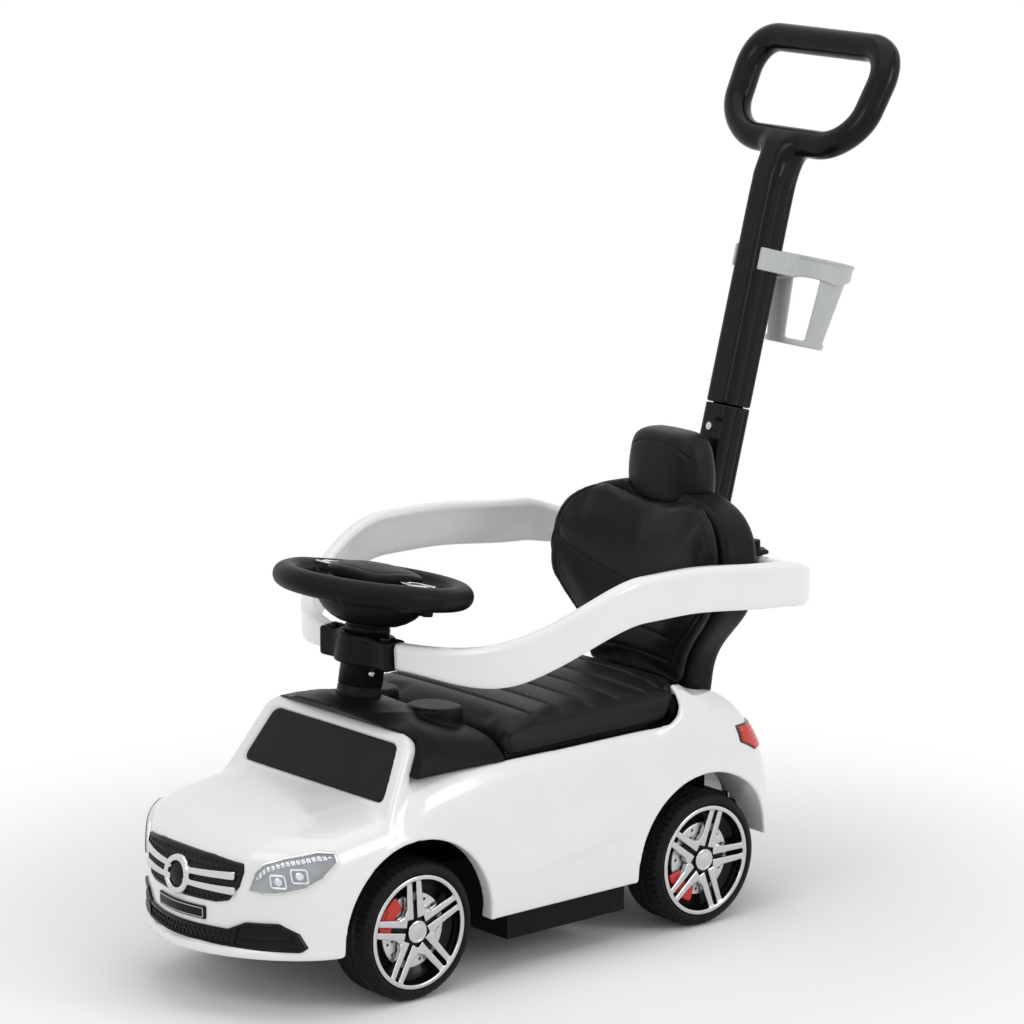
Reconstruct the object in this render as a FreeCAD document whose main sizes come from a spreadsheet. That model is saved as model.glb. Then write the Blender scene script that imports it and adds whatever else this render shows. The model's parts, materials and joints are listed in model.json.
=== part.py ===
import FreeCAD, Part
import math
import os
import re
from types import SimpleNamespace

import Sketcher

# Push car with a parent's handle: a white moulded body on a black chassis, a lift-off padded seat over a
# storage tub, a backrest, a guard rail that swings open, a steering wheel that turns the front wheels
# through a tie rod, and a handle with a cup holder.
# X runs from side to side (the driver's left is +X), the nose points to -Y and Z is up from the floor.
# Lengths are millimetres. Places along Y are counted from the point midway between the axles, which lies
# at axle_mid_y, so that the origin is under the middle of the whole car.

V = FreeCAD.Vector

SIZES = {
    # general
    "axle_mid_y": -60.94, "wheelbase": 376, "wheel_axis_z": 69, "wheel_face_x": 138,
    "fit_gap": 0.3, "running_gap": 0.08, "cut_over": 6, "plate_step": 1,
    # body
    "nose_y": -372.4, "tail_y": 334, "nose_round": 92, "tail_round": 92, "body_half_width": 140,
    "hull_floor_z": 20, "sill_z": 62, "body_wall": 3, "nose_mid_z": 105, "hood_front_z": 186,
    "cowl_y": -212.7, "cowl_z": 197, "scuttle_y": -172, "scuttle_z": 224, "belt_y": -71,
    "belt_z": 240, "haunch_y": 118, "haunch_z": 246, "deck_peak_y": 156, "deck_peak_z": 264,
    "deck_fall_y": 200, "deck_fall_z": 242, "deck_end_z": 230, "tail_mid_z": 70, "shoulder_z": 218,
    "rear_sill_z": 77, "chin_out": 8, "chin_inset": 2,
    "chin_top_z": 72, "shoulder_front_y": -204, "shoulder_rear_y": 158, "shoulder_sweep": 26,
    "arch_radius": 91,
    "arch_inset": 80, "seat_opening_half": 112, "seat_opening_y": 120, "neck_opening_half": 76,
    "neck_opening_y": 211, "neck_opening_end_y": 270, "pole_opening_half": 21, "pole_opening_end_y": 288,
    # screw posts of the body
    "post_radius": 7, "front_post_x": 36, "front_post_ahead": 47,
    "rear_post_x": 84, "rear_post_behind": 80, "screw_radius": 2,
    "screw_head_radius": 4, "screw_head_height": 2.4, "screw_length": 20,
    # windscreen
    "screen_slope_deg": 58.8, "screen_height": 59.6, "screen_foot_half": 111.2, "screen_top_half": 96.8,
    "screen_corner": 9, "screen_thickness": 3.4, "screen_pocket": 4, "screen_back": 3,
    "surround_depth": 16, "surround_side": 15, "surround_root": 20,
    # nose trim: skins that lie on the body
    "skin_outer": 2.2, "second_skin": 2.6, "second_outer": 5,
    "grille_half": 74, "grille_foot_half": 56, "grille_top_z": 155, "grille_foot_z": 110,
    "louvre_height": 6, "louvre_z": 135, "louvre_pitch": 10, "boss_radius": 18, "boss_z": 133,
    "plate_half": 37, "plate_z": 101, "plate_height": 14, "intake_half": 120, "intake_throat_half": 62,
    "intake_top_z": 93, "intake_throat_z": 86,
    "headlamp_x": 115, "headlamp_y": -325, "headlamp_z": 148, "headlamp_width": 86,
    "headlamp_height": 42, "lens_rim": 5, "tail_lamp_x": 120, "tail_lamp_y": 252, "tail_lamp_z": 189,
    "tail_lamp_width": 52, "tail_lamp_height": 28,
    # chassis
    "tub_half": 125, "tub_front_y": -66, "tub_rear_y": 88, "tub_floor_z": 34, "tub_rim_z": 190,
    "tub_wall": 3, "sill_flange_half": 133.6, "sill_flange_height": 4, "sill_flange_inset": 6,
    "deck_top_z": 108, "deck_height": 6, "deck_half": 56, "beam_half": 84, "beam_depth": 32,
    "beam_height": 12, "nose_deck": 62, "rear_plate_half": 78, "rear_plate_ahead": 38,
    "rear_plate_behind": 96,
    "tail_plate_half": 92, "tail_plate_start": 67, "carrier_x": 78, "carrier_width": 12, "carrier_depth": 28,
    "carrier_foot_z": 56, "tower_half": 28, "tower_front_y": 209, "tower_rear_y": 287,
    "tower_top_z": 160,
    # dash
    "dash_top_z": 262, "dash_mid_y": -128, "dash_mid_z": 257, "dash_low_y": -98, "dash_low_z": 248,
    "dash_end_z": 243, "dash_front_y": -206, "shoulder_half": 129, "dash_wall": 3, "knee_x": 50,
    "knee_y": -96, "knee_radius": 27, "knee_top_z": 261, "knee_foot_z": 226, "knee_round": 4,
    # seat
    "lid_thickness": 4, "lid_half": 125, "lid_front_gap": 0.8, "lid_main_end_y": 121,
    "lid_tongue_half": 107, "lid_tongue_end_y": 203, "cushion_half": 127, "cushion_crown_z": 257,
    "cushion_tongue_half": 105, "cushion_edge_z": 14, "channel_depth": 4, "channel_first_y": -26,
    "channel_pitch": 36, "cushion_taper": 30, "cushion_seam": 1,
    # backrest
    "backrest_y": 224, "backrest_z": 228, "backrest_lean_deg": 5, "backrest_drop": 68,
    "backrest_height": 272, "backrest_half": 128, "backrest_depth": 42, "backrest_wing": 25,
    "pad_inset": 4, "pad_depth": 19, "pad_edge": 6, "pad_foot": 10, "pad_top_drop": 12,
    "ear_half": 12, "ear_height": 6, "headrest_half": 55, "headrest_depth": 54, "headrest_height": 78,
    "headrest_y": 263, "headrest_z": 409, "tongue_half": 34,
    "tongue_depth": 7, "tongue_top_z": 478,
    # guard rail
    "rail_radius": 200, "rail_centre_y": 35, "rail_start_deg": 16.6, "rail_thickness": 14,
    "rail_height": 46, "rail_front_height": 38, "rail_front_z": 314, "rail_top_z": 374,
    "rail_rear_z": 362,
    "rail_end_z": 350, "rail_rise_start_y": -128, "rail_rise_end_y": 30, "rail_fall_y": 100,
    "rail_side_end_y": 236, "rail_corner": 54, "rail_end_height": 30, "pivot_x": 96,
    "pivot_pin_radius": 4, "pivot_eye_radius": 9, "pin_head_radius": 6, "pin_head_height": 3,
    "clamp_depth": 20, "clamp_height": 40, "clamp_end_deg": 16, "collar_radius": 29,
    "collar_foot": 28, "collar_height": 42, "latch_deg": 11.5, "latch_radius": 5, "latch_height": 9,
    "latch_stand": 4, "latch_travel": 2.5,
    # steering
    "column_y": -153, "column_z": 264, "column_tilt_deg": 10.3, "column_radius": 22,
    "column_bore": 17, "column_sink": 10, "column_top": 92, "column_flange": 6, "shaft_radius": 5,
    "shaft_foot": 190, "shaft_top": 118, "crank_radius": 25, "crank_width": 14, "crank_height": 5,
    "crank_end": 6, "link_pin_radius": 3, "crank_pin_length": 17, "bowl_foot": 93, "bowl_neck": 24,
    "bowl_waist": 38, "bowl_radius": 54, "bowl_step": 5, "bowl_height": 19, "bowl_wall": 3,
    "wheel_ring_radius": 87, "wheel_ring_tube": 13, "wheel_ring_z": 118, "wheel_disc_radius": 53,
    "wheel_disc_height": 8, "spoke_width": 30, "lower_spoke_width": 36, "spoke_foot": 1,
    "spoke_height": 7, "guide_width": 72, "guide_depth": 56, "guide_wall": 3, "guide_height": 10,
    "horn_width": 92, "horn_depth": 74, "horn_height": 15, "horn_top_wall": 5,
    "horn_lift": 3, "horn_round": 12, "sound_width": 50, "sound_depth": 34, "sound_height": 7,
    "trim_start": 55, "trim_end": 72, "trim_width": 22, "trim_height": 5, "music_x": 63.5,
    "music_radius": 6, "music_height": 5, "music_lift": 2.3,
    "king_pin_x": 74, "king_pin_radius": 4, "king_pin_foot_z": 48, "king_head_radius": 7,
    "king_head_height": 4, "king_clip_radius": 6.5, "king_clip_height": 5.5, "knuckle_width": 20,
    "knuckle_foot_z": 56, "knuckle_top_gap": 0.4, "spacer_radius": 8, "arm_reach": 43,
    "arm_width": 12, "arm_foot_z": 66, "arm_height": 6, "arm_end": 6, "arm_pin_foot_z": 56,
    "tie_rod_z": 58, "tie_rod_height": 6, "tie_rod_half": 81, "tie_rod_depth": 16,
    "tie_tab_half": 18, "tie_tab_ahead": 14, "slot_gap": 0.7, "arm_slot_room": 3, "crank_slot_room": 6,
    # wheels
    "wheel_width": 54, "tyre_radius": 69, "tyre_shoulder": 6, "rim_radius": 57, "rim_wall": 4,
    "rim_lip": 1, "barrel_end": 48, "web_z": 36, "web_height": 4, "wheel_hub_radius": 12,
    "wheel_hub_foot": 12, "wheel_hub_end": 42, "axle_radius": 4, "axle_head_radius": 7,
    "axle_head_gap": 0.5, "axle_head_height": 3.5, "disc_radius": 37, "disc_height": 3,
    "caliper_inner": 25, "caliper_outer": 46, "caliper_half_deg": 26, "caliper_height": 7,
    "trim_lip": 8, "spoke_z": 47, "spoke_thick": 5, "spoke_slot": 4.5, "spoke_root_width": 7,
    "spoke_tip_width": 5, "spoke_root": 9, "cap_radius": 12, "cap_height": 6,
    # handle
    "handle_foot_y": 237.5, "handle_foot_z": 114.5, "handle_lean_deg": 15.1, "pole_width": 36,
    "pole_depth": 39, "pole_round": 9, "pole_wall": 4, "lower_length": 400, "spigot_length": 60,
    "spigot_width": 27, "spigot_depth": 30, "pole_cap": 15, "pole_screw": 375, "upper_top": 644,
    "loop_lean_deg": 28.5, "loop_foot": 38, "loop_height": 112, "loop_top_half": 102,
    "loop_foot_half": 93, "loop_top_round": 34, "loop_foot_round": 50, "loop_tube": 15,
    "loop_neck": 20, "cup_offset": 76, "cup_ring_radius": 45, "cup_bore": 40, "cup_ring_top": 568,
    "cup_ring_height": 21, "cup_foot": 480, "cup_foot_radius": 30, "cup_wall": 3, "cup_slot": 24,
    "cup_slot_foot": 494, "cup_slot_top": 546, "clip_wall": 4, "clip_front": 2, "clip_rear": 36,
}

# The body's nose and tail narrow as superellipses, and so does each cross-section.
NOSE_PLAN_POWER = 1.7
NOSE_SIDE_POWER = 3.0
TAIL_PLAN_POWER = 2.0
TAIL_SIDE_POWER = 2.4
TAIL_TOP_POWER = 1.15
HULL_POWER = 5.0
CUSHION_POWER = 2.7
HEADREST_POWER = 3.2
BACKREST_POWER = 5.0
SLICE_POINTS = 32
NOSE_SHARES = (0.99, 0.95, 0.87, 0.74, 0.55, 0.30, 0.0)
TAIL_SHARES = (0.0, 0.30, 0.55, 0.74, 0.87, 0.95, 0.99)
# (share of the backrest's height, share of its half width), from the foot up to the shoulders
BACKREST_SHARES = ((0.0, 0.44), (0.14, 0.47), (0.24, 0.545), (0.35, 0.575), (0.42, 0.65), (0.51, 0.82),
                   (0.60, 0.96), (0.70, 1.0), (0.79, 0.985), (0.88, 0.90), (0.95, 0.70), (0.99, 0.42))
# (share of the pad's height, share of its thickness); the dip is the sewn channel across it
PAD_SHARES = ((0.0, 0.35), (0.04, 0.7), (0.12, 0.95), (0.25, 1.0), (0.38, 0.95), (0.42, 0.6), (0.46, 0.95),
              (0.6, 1.0), (0.75, 1.0), (0.88, 0.9), (0.96, 0.65), (1.0, 0.35))
HEADREST_SHARES = ((0.0, 0.72), (0.14, 0.92), (0.42, 1.0), (0.72, 0.92), (0.92, 0.75), (1.0, 0.54))
# (share of the lamp's width, share of its height), counted from its middle
HEADLAMP_SHARES = ((-0.5, -0.46), (-0.43, -0.02), (-0.33, 0.2), (-0.1, 0.36), (0.28, 0.5), (0.46, 0.46),
                   (0.5, 0.26), (0.36, -0.08), (0.16, -0.32), (-0.1, -0.46), (-0.36, -0.5))
TAIL_LAMP_SHARES = ((-0.5, -0.5), (-0.5, 0.2), (-0.2, 0.5), (0.5, 0.5), (0.5, -0.1), (0.2, -0.5))
WHEEL_SPOKES = 5
CUSHION_CHANNELS = 6
SIDES = (("left", 1), ("right", -1))
ENDS = (("front", -1), ("rear", 1))

doc = FreeCAD.newDocument("push_car")
sheet = doc.addObject("Spreadsheet::Sheet", "Sizes")
for row, (alias, value) in enumerate(SIZES.items(), start=1):
    sheet.set(f"A{row}", alias)
    sheet.set(f"B{row}", str(value))
    sheet.setAlias(f"B{row}", alias)
doc.recompute()
s = SimpleNamespace(**{alias: float(getattr(sheet, alias)) for alias in SIZES})
nodes = {}


def keep(label, obj):
    """Makes a document object one of the car's sub-parts."""
    obj.Label = label
    nodes[label] = obj
    return obj


def bind(obj, prop, expression):
    """Binds a property to an expression in which sizes stand by their bare names."""
    text = re.sub(r"[a-z][a-z0-9_]*", lambda word: ("Sizes." if word[0] in SIZES else "") + word[0],
                  expression)
    obj.setExpression(prop, text)


def place(obj, x="0", y="0", z="0", axis=None, turn=None):
    """Places an object at bound coordinates, turned about an axis by a fixed or bound angle."""
    if axis is not None:
        start = 1 if isinstance(turn, str) else turn
        obj.Placement = FreeCAD.Placement(V(), FreeCAD.Rotation(axis, start))
        if isinstance(turn, str):
            bind(obj, "Placement.Rotation.Angle", f"{turn} * 1 deg")
    for letter, expression in zip("xyz", (x, y, z)):
        bind(obj, f"Placement.Base.{letter}", expression)
    return obj


def block(length, width, height, x, y, z):
    """A box whose sizes and low corner are expressions."""
    box = doc.addObject("Part::Box", "Block")
    for prop, expression in (("Length", length), ("Width", width), ("Height", height)):
        bind(box, prop, expression)
    return place(box, x, y, z)


def wide_block(half, width, height, y, z):
    """A box that lies evenly about the plane x = 0."""
    return block(f"2 * ({half})", width, height, f"-({half})", y, z)


def rod(radius, length, x="0", y="0", z="0", axis=None, turn=None):
    """A cylinder along Z, or along the direction that the turn gives it."""
    cylinder = doc.addObject("Part::Cylinder", "Rod")
    bind(cylinder, "Radius", radius)
    bind(cylinder, "Height", length)
    return place(cylinder, x, y, z, axis, turn)


def cross_rod(radius, length, x, y, z):
    """A cylinder along +X from a bound start."""
    return rod(radius, length, x, y, z, V(0, 1, 0), 90)


def fuse(pieces):
    joined = doc.addObject("Part::MultiFuse", "Joined")
    joined.Shapes = pieces
    return joined


def cut(base, tools):
    trimmed = doc.addObject("Part::Cut", "Trimmed")
    trimmed.Base = base
    trimmed.Tool = tools[0] if len(tools) == 1 else fuse(tools)
    return trimmed


def group(pieces):
    """Separate solids that share one sub-part."""
    bunch = doc.addObject("Part::Compound", "Group")
    bunch.Links = pieces
    return bunch


def new_body(label):
    body = doc.addObject("PartDesign::Body", label)
    return keep(label, body)


def sketch_on(body, role, lift=None):
    """A sketch on one of the body's own origin planes, lifted along its normal."""
    sketch = body.newObject("Sketcher::SketchObject", "Profile")
    plane = [feature for feature in body.Origin.OriginFeatures if feature.Role == role][0]
    sketch.AttachmentSupport = [(plane, "")]
    sketch.MapMode = "FlatFace"
    if lift is not None:
        bind(sketch, "AttachmentOffset.Base.z", lift)
    return sketch


def draw_polygon(sketch, points):
    """Adds a closed polygon whose corners are pairs of expressions."""
    count = len(points)
    start = sketch.GeometryCount
    corner = [V(math.cos(2 * math.pi * step / count), math.sin(2 * math.pi * step / count), 0)
              for step in range(count)]
    for step in range(count):
        sketch.addGeometry(Part.LineSegment(corner[step], corner[(step + 1) % count]))
    for step, point in enumerate(points):
        line = start + step
        sketch.addConstraint(Sketcher.Constraint("Coincident", line, 2, start + (step + 1) % count, 1))
        for kind, expression in zip(("DistanceX", "DistanceY"), point):
            index = sketch.addConstraint(Sketcher.Constraint(kind, -1, 1, line, 1, 1.0))
            bind(sketch, f"Constraints[{index}]", expression)


def draw_circle(sketch, radius, x=None):
    """Adds a circle about the sketch's origin, or about a bound place on its first axis."""
    index = sketch.addGeometry(Part.Circle(V(), V(0, 0, 1), 1))
    if x is None:
        sketch.addConstraint(Sketcher.Constraint("Coincident", index, 3, -1, 1))
    else:
        for kind, expression in (("DistanceX", x), ("DistanceY", "0")):
            number = sketch.addConstraint(Sketcher.Constraint(kind, -1, 1, index, 3, 1.0))
            bind(sketch, f"Constraints[{number}]", expression)
    number = sketch.addConstraint(Sketcher.Constraint("Radius", index, 1.0))
    bind(sketch, f"Constraints[{number}]", radius)


def pad(body, sketch, length):
    feature = body.newObject("PartDesign::Pad", "Pad")
    feature.Profile = sketch
    bind(feature, "Length", length)
    return feature


def pocket(body, sketch, length, reverse=False):
    feature = body.newObject("PartDesign::Pocket", "Pocket")
    feature.Profile = sketch
    feature.Reversed = reverse
    bind(feature, "Length", length)
    return feature


def turned(body, points):
    """A solid of revolution about the body's Z axis from (radius, height) expressions."""
    sketch = sketch_on(body, "XZ_Plane")
    draw_polygon(sketch, points)
    feature = body.newObject("PartDesign::Revolution", "Turned")
    feature.Profile = sketch
    feature.ReferenceAxis = (sketch, ["V_Axis"])
    feature.Angle = 360
    return feature


def soften(body, feature, radius, chosen):
    """Rounds the edges of a feature that the test chooses."""
    doc.recompute()
    names = [f"Edge{number}" for number, edge in enumerate(feature.Shape.Edges, start=1) if chosen(edge)]
    fillet = body.newObject("PartDesign::Fillet", "Rounding")
    fillet.Base = (feature, names)
    bind(fillet, "Radius", radius)
    return fillet


def upright(edge):
    first, last = edge.Vertexes[0].Point, edge.Vertexes[-1].Point
    flat = math.hypot(first.x - last.x, first.y - last.y)
    return flat < abs(first.z - last.z) / 2


def formed(label, shape, placement=None):
    """A sub-part whose free form Part's own functions make."""
    feature = doc.addObject("Part::Feature", label)
    feature.Shape = shape
    if placement is not None:
        feature.Placement = placement
    return keep(label, feature)


def along(y):
    """A place along the car, from the middle between the axles to the part's own frame."""
    return s.axle_mid_y + y


FRONT_AXLE = "axle_mid_y - wheelbase / 2"
REAR_AXLE = "axle_mid_y + wheelbase / 2"
front_axle_y = along(-s.wheelbase / 2)
rear_axle_y = along(s.wheelbase / 2)
column_frame = FreeCAD.Placement(V(0, along(s.column_y), s.column_z),
                                 FreeCAD.Rotation(V(-1, 0, 0), s.column_tilt_deg))
screen_frame = FreeCAD.Placement(V(0, along(s.cowl_y), s.cowl_z),
                                 FreeCAD.Rotation(V(1, 0, 0), s.screen_slope_deg))
handle_frame = FreeCAD.Placement(V(0, along(s.handle_foot_y), s.handle_foot_z),
                                 FreeCAD.Rotation(V(-1, 0, 0), s.handle_lean_deg))
backrest_frame = FreeCAD.Placement(V(0, along(s.backrest_y), s.backrest_z),
                                   FreeCAD.Rotation(V(-1, 0, 0), s.backrest_lean_deg))


def on_column(obj):
    return place(obj, "0", "axle_mid_y + column_y", "column_z", V(-1, 0, 0), "column_tilt_deg")


def on_handle(obj):
    return place(obj, "0", "axle_mid_y + handle_foot_y", "handle_foot_z", V(-1, 0, 0), "handle_lean_deg")


def plain_box(half, y0, y1, z0, z1):
    """A plain solid between two places along Y and Z, evenly about x = 0."""
    return Part.makeBox(2 * half, y1 - y0, z1 - z0, V(-half, y0, z0))


def moved(shape, placement):
    """A solid carried from a local frame into the part's own frame."""
    shape.Placement = placement
    return shape


def spline_wire(points):
    curve = Part.BSplineCurve()
    curve.interpolate(Points=points, PeriodicFlag=True)
    return Part.Wire([curve.toShape()])


def rounding(share, power):
    """How far a superellipse still reaches at a share of the way to its end."""
    return (1 - share ** power) ** (1 / power)


def slice_points(half_width, bottom, top, power):
    """Points (x, z) round a superellipse."""
    middle, reach = (bottom + top) / 2, (top - bottom) / 2
    for step in range(SLICE_POINTS):
        angle = 2 * math.pi * (step + 0.5) / SLICE_POINTS
        across, above = math.cos(angle), math.sin(angle)
        yield (math.copysign(half_width * abs(across) ** (2 / power), across),
               middle + math.copysign(reach * abs(above) ** (2 / power), above))


def slice_wire(y, half_width, bottom, top, power=HULL_POWER):
    return spline_wire([V(x, y, z) for x, z in slice_points(half_width, bottom, top, power)])


def hull_slices(inset):
    """(y, half width, bottom, top) of the body's cross-sections, drawn in by inset."""
    width = s.body_half_width - inset
    floor = s.hull_floor_z
    for share in NOSE_SHARES:
        rise = rounding(share, NOSE_SIDE_POWER)
        yield (s.nose_y + inset + s.nose_round * (1 - share), width * rounding(share, NOSE_PLAN_POWER),
               s.nose_mid_z - (s.nose_mid_z - floor) * rise,
               s.nose_mid_z + (s.hood_front_z - inset - s.nose_mid_z) * rise)
    for y, top in ((s.cowl_y, s.cowl_z), (s.scuttle_y, s.scuttle_z), (s.belt_y, s.belt_z),
                   (s.haunch_y, s.haunch_z), (s.deck_peak_y, s.deck_peak_z),
                   (s.deck_fall_y, s.deck_fall_z)):
        yield y, width, floor, top - inset
    for share in TAIL_SHARES:
        yield (s.tail_y - inset - s.tail_round * (1 - share), width * rounding(share, TAIL_PLAN_POWER),
               s.tail_mid_z - (s.tail_mid_z - floor) * rounding(share, TAIL_SIDE_POWER),
               s.tail_mid_z + (s.deck_end_z - inset - s.tail_mid_z) * rounding(share, TAIL_TOP_POWER))


def hull(inset):
    """The car body's outer form as a closed solid, drawn in by inset."""
    wires = [slice_wire(along(y), half, low, top) for y, half, low, top in hull_slices(inset)]
    return Part.makeLoft(wires, True)


hulls = {inset: hull(inset) for inset in (0.0, s.body_wall, -s.fit_gap, -s.skin_outer, -s.second_skin,
                                          -s.second_outer)}


def prism_along(points, direction, length):
    """A solid swept from a closed polygon along a direction."""
    return Part.Face(Part.makePolygon(points + points[:1])).extrude(direction * length)


def screen_outline(inset, foot):
    """The windscreen's trapezoid in its own plane, grown by -inset and lengthened below by foot."""
    spread = (s.screen_foot_half - s.screen_top_half) / s.screen_height
    low, high = inset - foot, s.screen_height - inset
    low_half = s.screen_foot_half - spread * low - inset
    high_half = s.screen_foot_half - spread * high - inset
    return [V(-low_half, low, 0), V(low_half, low, 0), V(high_half, high, 0), V(-high_half, high, 0)]


def windscreen_surround():
    """The frame round the windscreen, moulded in one with the body, open behind."""
    depth = V(0, 0, -1)
    frame = prism_along(screen_outline(-s.surround_side, s.surround_root), depth, s.surround_depth)
    uprights = [edge for edge in frame.Edges if abs(edge.BoundBox.ZLength - s.surround_depth) < s.fit_gap
                and edge.CenterOfMass.y > 0]
    frame = frame.makeFillet(s.screen_corner, uprights)
    hollow = prism_along(screen_outline(s.fit_gap, s.surround_root), depth, s.surround_depth + s.cut_over)
    hollow.translate(depth * (s.screen_pocket + s.screen_back))
    return moved(frame.cut(hollow), screen_frame)


def shoulder_cut():
    """What is taken off above the shoulder line, which sweeps up behind the seat."""
    reach = s.body_half_width + s.cut_over
    front, rear = along(s.shoulder_front_y), along(s.shoulder_rear_y)
    low, sweep, top = s.shoulder_z, s.shoulder_sweep, s.deck_peak_z + s.cut_over
    bend = math.sqrt(0.5)
    arc = Part.Arc(V(-reach, rear - sweep, low),
                   V(-reach, rear - sweep * (1 - bend), low + sweep * (1 - bend)),
                   V(-reach, rear, low + sweep))
    corners = [V(-reach, rear, low + sweep), V(-reach, rear, top), V(-reach, front, top),
               V(-reach, front, low), V(-reach, rear - sweep, low)]
    edges = [arc.toShape()] + [Part.makeLine(a, b) for a, b in zip(corners, corners[1:])]
    return Part.Face(Part.Wire(edges)).extrude(V(2 * reach, 0, 0))


def body_posts():
    """(x, y) of the posts that the chassis is screwed to."""
    for _, side in SIDES:
        yield side * s.front_post_x, front_axle_y - s.front_post_ahead
        yield side * s.rear_post_x, rear_axle_y + s.rear_post_behind


def chin():
    """The lip along the foot of the nose."""
    half, depth = s.body_half_width - s.chin_inset, s.nose_round + s.chin_out
    rear = along(s.nose_y + s.nose_round)
    right = [V(half * rounding(share, NOSE_PLAN_POWER), rear - depth * share, s.sill_z)
             for share in reversed(NOSE_SHARES)]
    points = right + [V(-point.x, point.y, point.z) for point in reversed(right)]
    curve = Part.BSplineCurve()
    curve.interpolate(Points=points)
    outline = Part.Wire([curve.toShape(), Part.makeLine(points[-1], points[0])])
    return Part.Face(outline).extrude(V(0, 0, s.chin_top_z - s.sill_z))


def make_body():
    over = s.cut_over
    inside = hulls[s.body_wall]
    shell = hulls[0.0].cut(inside).fuse(chin().cut(inside))
    width = s.body_half_width + over
    tools = [plain_box(width, along(s.nose_y) - s.chin_out - over, along(s.tail_y) + over, -over, s.sill_z),
             plain_box(width, rear_axle_y, along(s.tail_y) + over, -over, s.rear_sill_z),
             shoulder_cut(),
             plain_box(s.seat_opening_half, along(s.seat_opening_y), along(s.neck_opening_y),
                       s.shoulder_z - over, s.deck_peak_z + over),
             plain_box(s.neck_opening_half, along(s.neck_opening_y), along(s.neck_opening_end_y),
                       s.deck_top_z, s.deck_peak_z + over),
             plain_box(s.pole_opening_half, along(s.neck_opening_y), along(s.pole_opening_end_y),
                       s.deck_top_z, s.deck_peak_z + over)]
    for axle_y in (front_axle_y, rear_axle_y):
        for _, side in SIDES:
            tools.append(Part.makeCylinder(s.arch_radius, s.arch_inset,
                                           V(side * (width - s.arch_inset), axle_y, s.wheel_axis_z),
                                           V(side, 0, 0)))
    shell = shell.cut(tools)
    posts = []
    for x, y in body_posts():
        post = Part.makeCylinder(s.post_radius, s.deck_peak_z - s.deck_top_z, V(x, y, s.deck_top_z))
        hole = Part.makeCylinder(s.screw_radius + s.running_gap, s.screw_length, V(x, y, s.deck_top_z))
        posts.append(post.common(hulls[0.0]).cut(hole))
    surround = windscreen_surround()
    pane = prism_along(screen_outline(-s.fit_gap, 0), V(0, 0, -1), s.screen_pocket)
    column = Part.makeCylinder(s.column_radius + s.fit_gap, s.column_top + s.shaft_foot,
                               V(0, 0, -s.shaft_foot))
    tools = [moved(pane, screen_frame), moved(column, column_frame)]
    return formed("body_shell", shell.fuse([surround] + posts).cut(tools))


def make_windscreen():
    body = new_body("windscreen_panel")
    sketch = sketch_on(body, "XY_Plane")
    draw_polygon(sketch, [("-screen_foot_half", "0"), ("screen_foot_half", "0"),
                          ("screen_top_half", "screen_height"), ("-screen_top_half", "screen_height")])
    panel = pad(body, sketch, "screen_thickness")
    soften(body, panel, "screen_corner", upright)
    drop = "(screen_pocket - fit_gap)"
    place(body, "0", f"axle_mid_y + cowl_y + {drop} * sin(screen_slope_deg * 1 deg)",
          f"cowl_z - {drop} * cos(screen_slope_deg * 1 deg)", V(1, 0, 0), "screen_slope_deg")


def skin(outline, yaw_deg, middle, inner, outer):
    """A trim that lies on the body: an outline (u, z) seen from a level direction at yaw_deg."""
    yaw = math.radians(yaw_deg)
    outward = V(math.sin(yaw), -math.cos(yaw), 0)
    across = V(math.cos(yaw), math.sin(yaw), 0)
    reach = s.body_half_width + s.cut_over
    points = [middle - outward * s.nose_round + across * u + V(0, 0, z) for u, z in outline]
    prism = prism_along(points, outward, s.nose_round + reach)
    return hulls[outer].common(prism).cut(hulls[inner])


def mirrored(points):
    """Closes an outline that is even about u = 0 from its right half."""
    return points + [(-u, z) for u, z in reversed(points)]


def round_outline(radius, z):
    count = SLICE_POINTS
    return [(radius * math.cos(2 * math.pi * step / count), z + radius * math.sin(2 * math.pi * step / count))
            for step in range(count)]


def make_nose_trim():
    nose = V(0, along(s.nose_y + s.nose_round), 0)
    first = -s.fit_gap, -s.skin_outer
    second = -s.second_skin, -s.second_outer
    bevel = (s.grille_top_z + s.grille_foot_z) / 2
    grille = mirrored([(s.grille_foot_half, s.grille_foot_z), (s.grille_half, bevel),
                       (s.grille_half, s.grille_top_z)])
    formed("grille_panel", skin(grille, 0, nose, *first))
    bars = [skin(round_outline(s.boss_radius, s.boss_z), 0, nose, *second)]
    for row in (-0.5, 0.5):
        low = s.louvre_z + row * s.louvre_pitch - s.louvre_height / 2
        edge = s.grille_half - s.louvre_height / 2
        bars.append(skin(mirrored([(edge, low), (edge, low + s.louvre_height)]), 0, nose, *second))
    formed("grille_louvres", bars[0].fuse(bars[1:]).removeSplitter())
    low = s.plate_z - s.plate_height / 2
    plate = mirrored([(s.plate_half, low), (s.plate_half, low + s.plate_height)])
    formed("number_plate", skin(plate, 0, nose, *first))
    throat = s.intake_throat_half
    bend = (s.intake_half + throat) / 2
    foot = s.chin_top_z + s.fit_gap
    intake = mirrored([(throat, foot), (s.intake_half, foot),
                       (s.intake_half, (foot + s.intake_top_z) / 2), (bend, s.intake_top_z),
                       (throat, s.intake_throat_z)])
    formed("lower_grille", skin(intake, 0, nose, *first))


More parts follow.
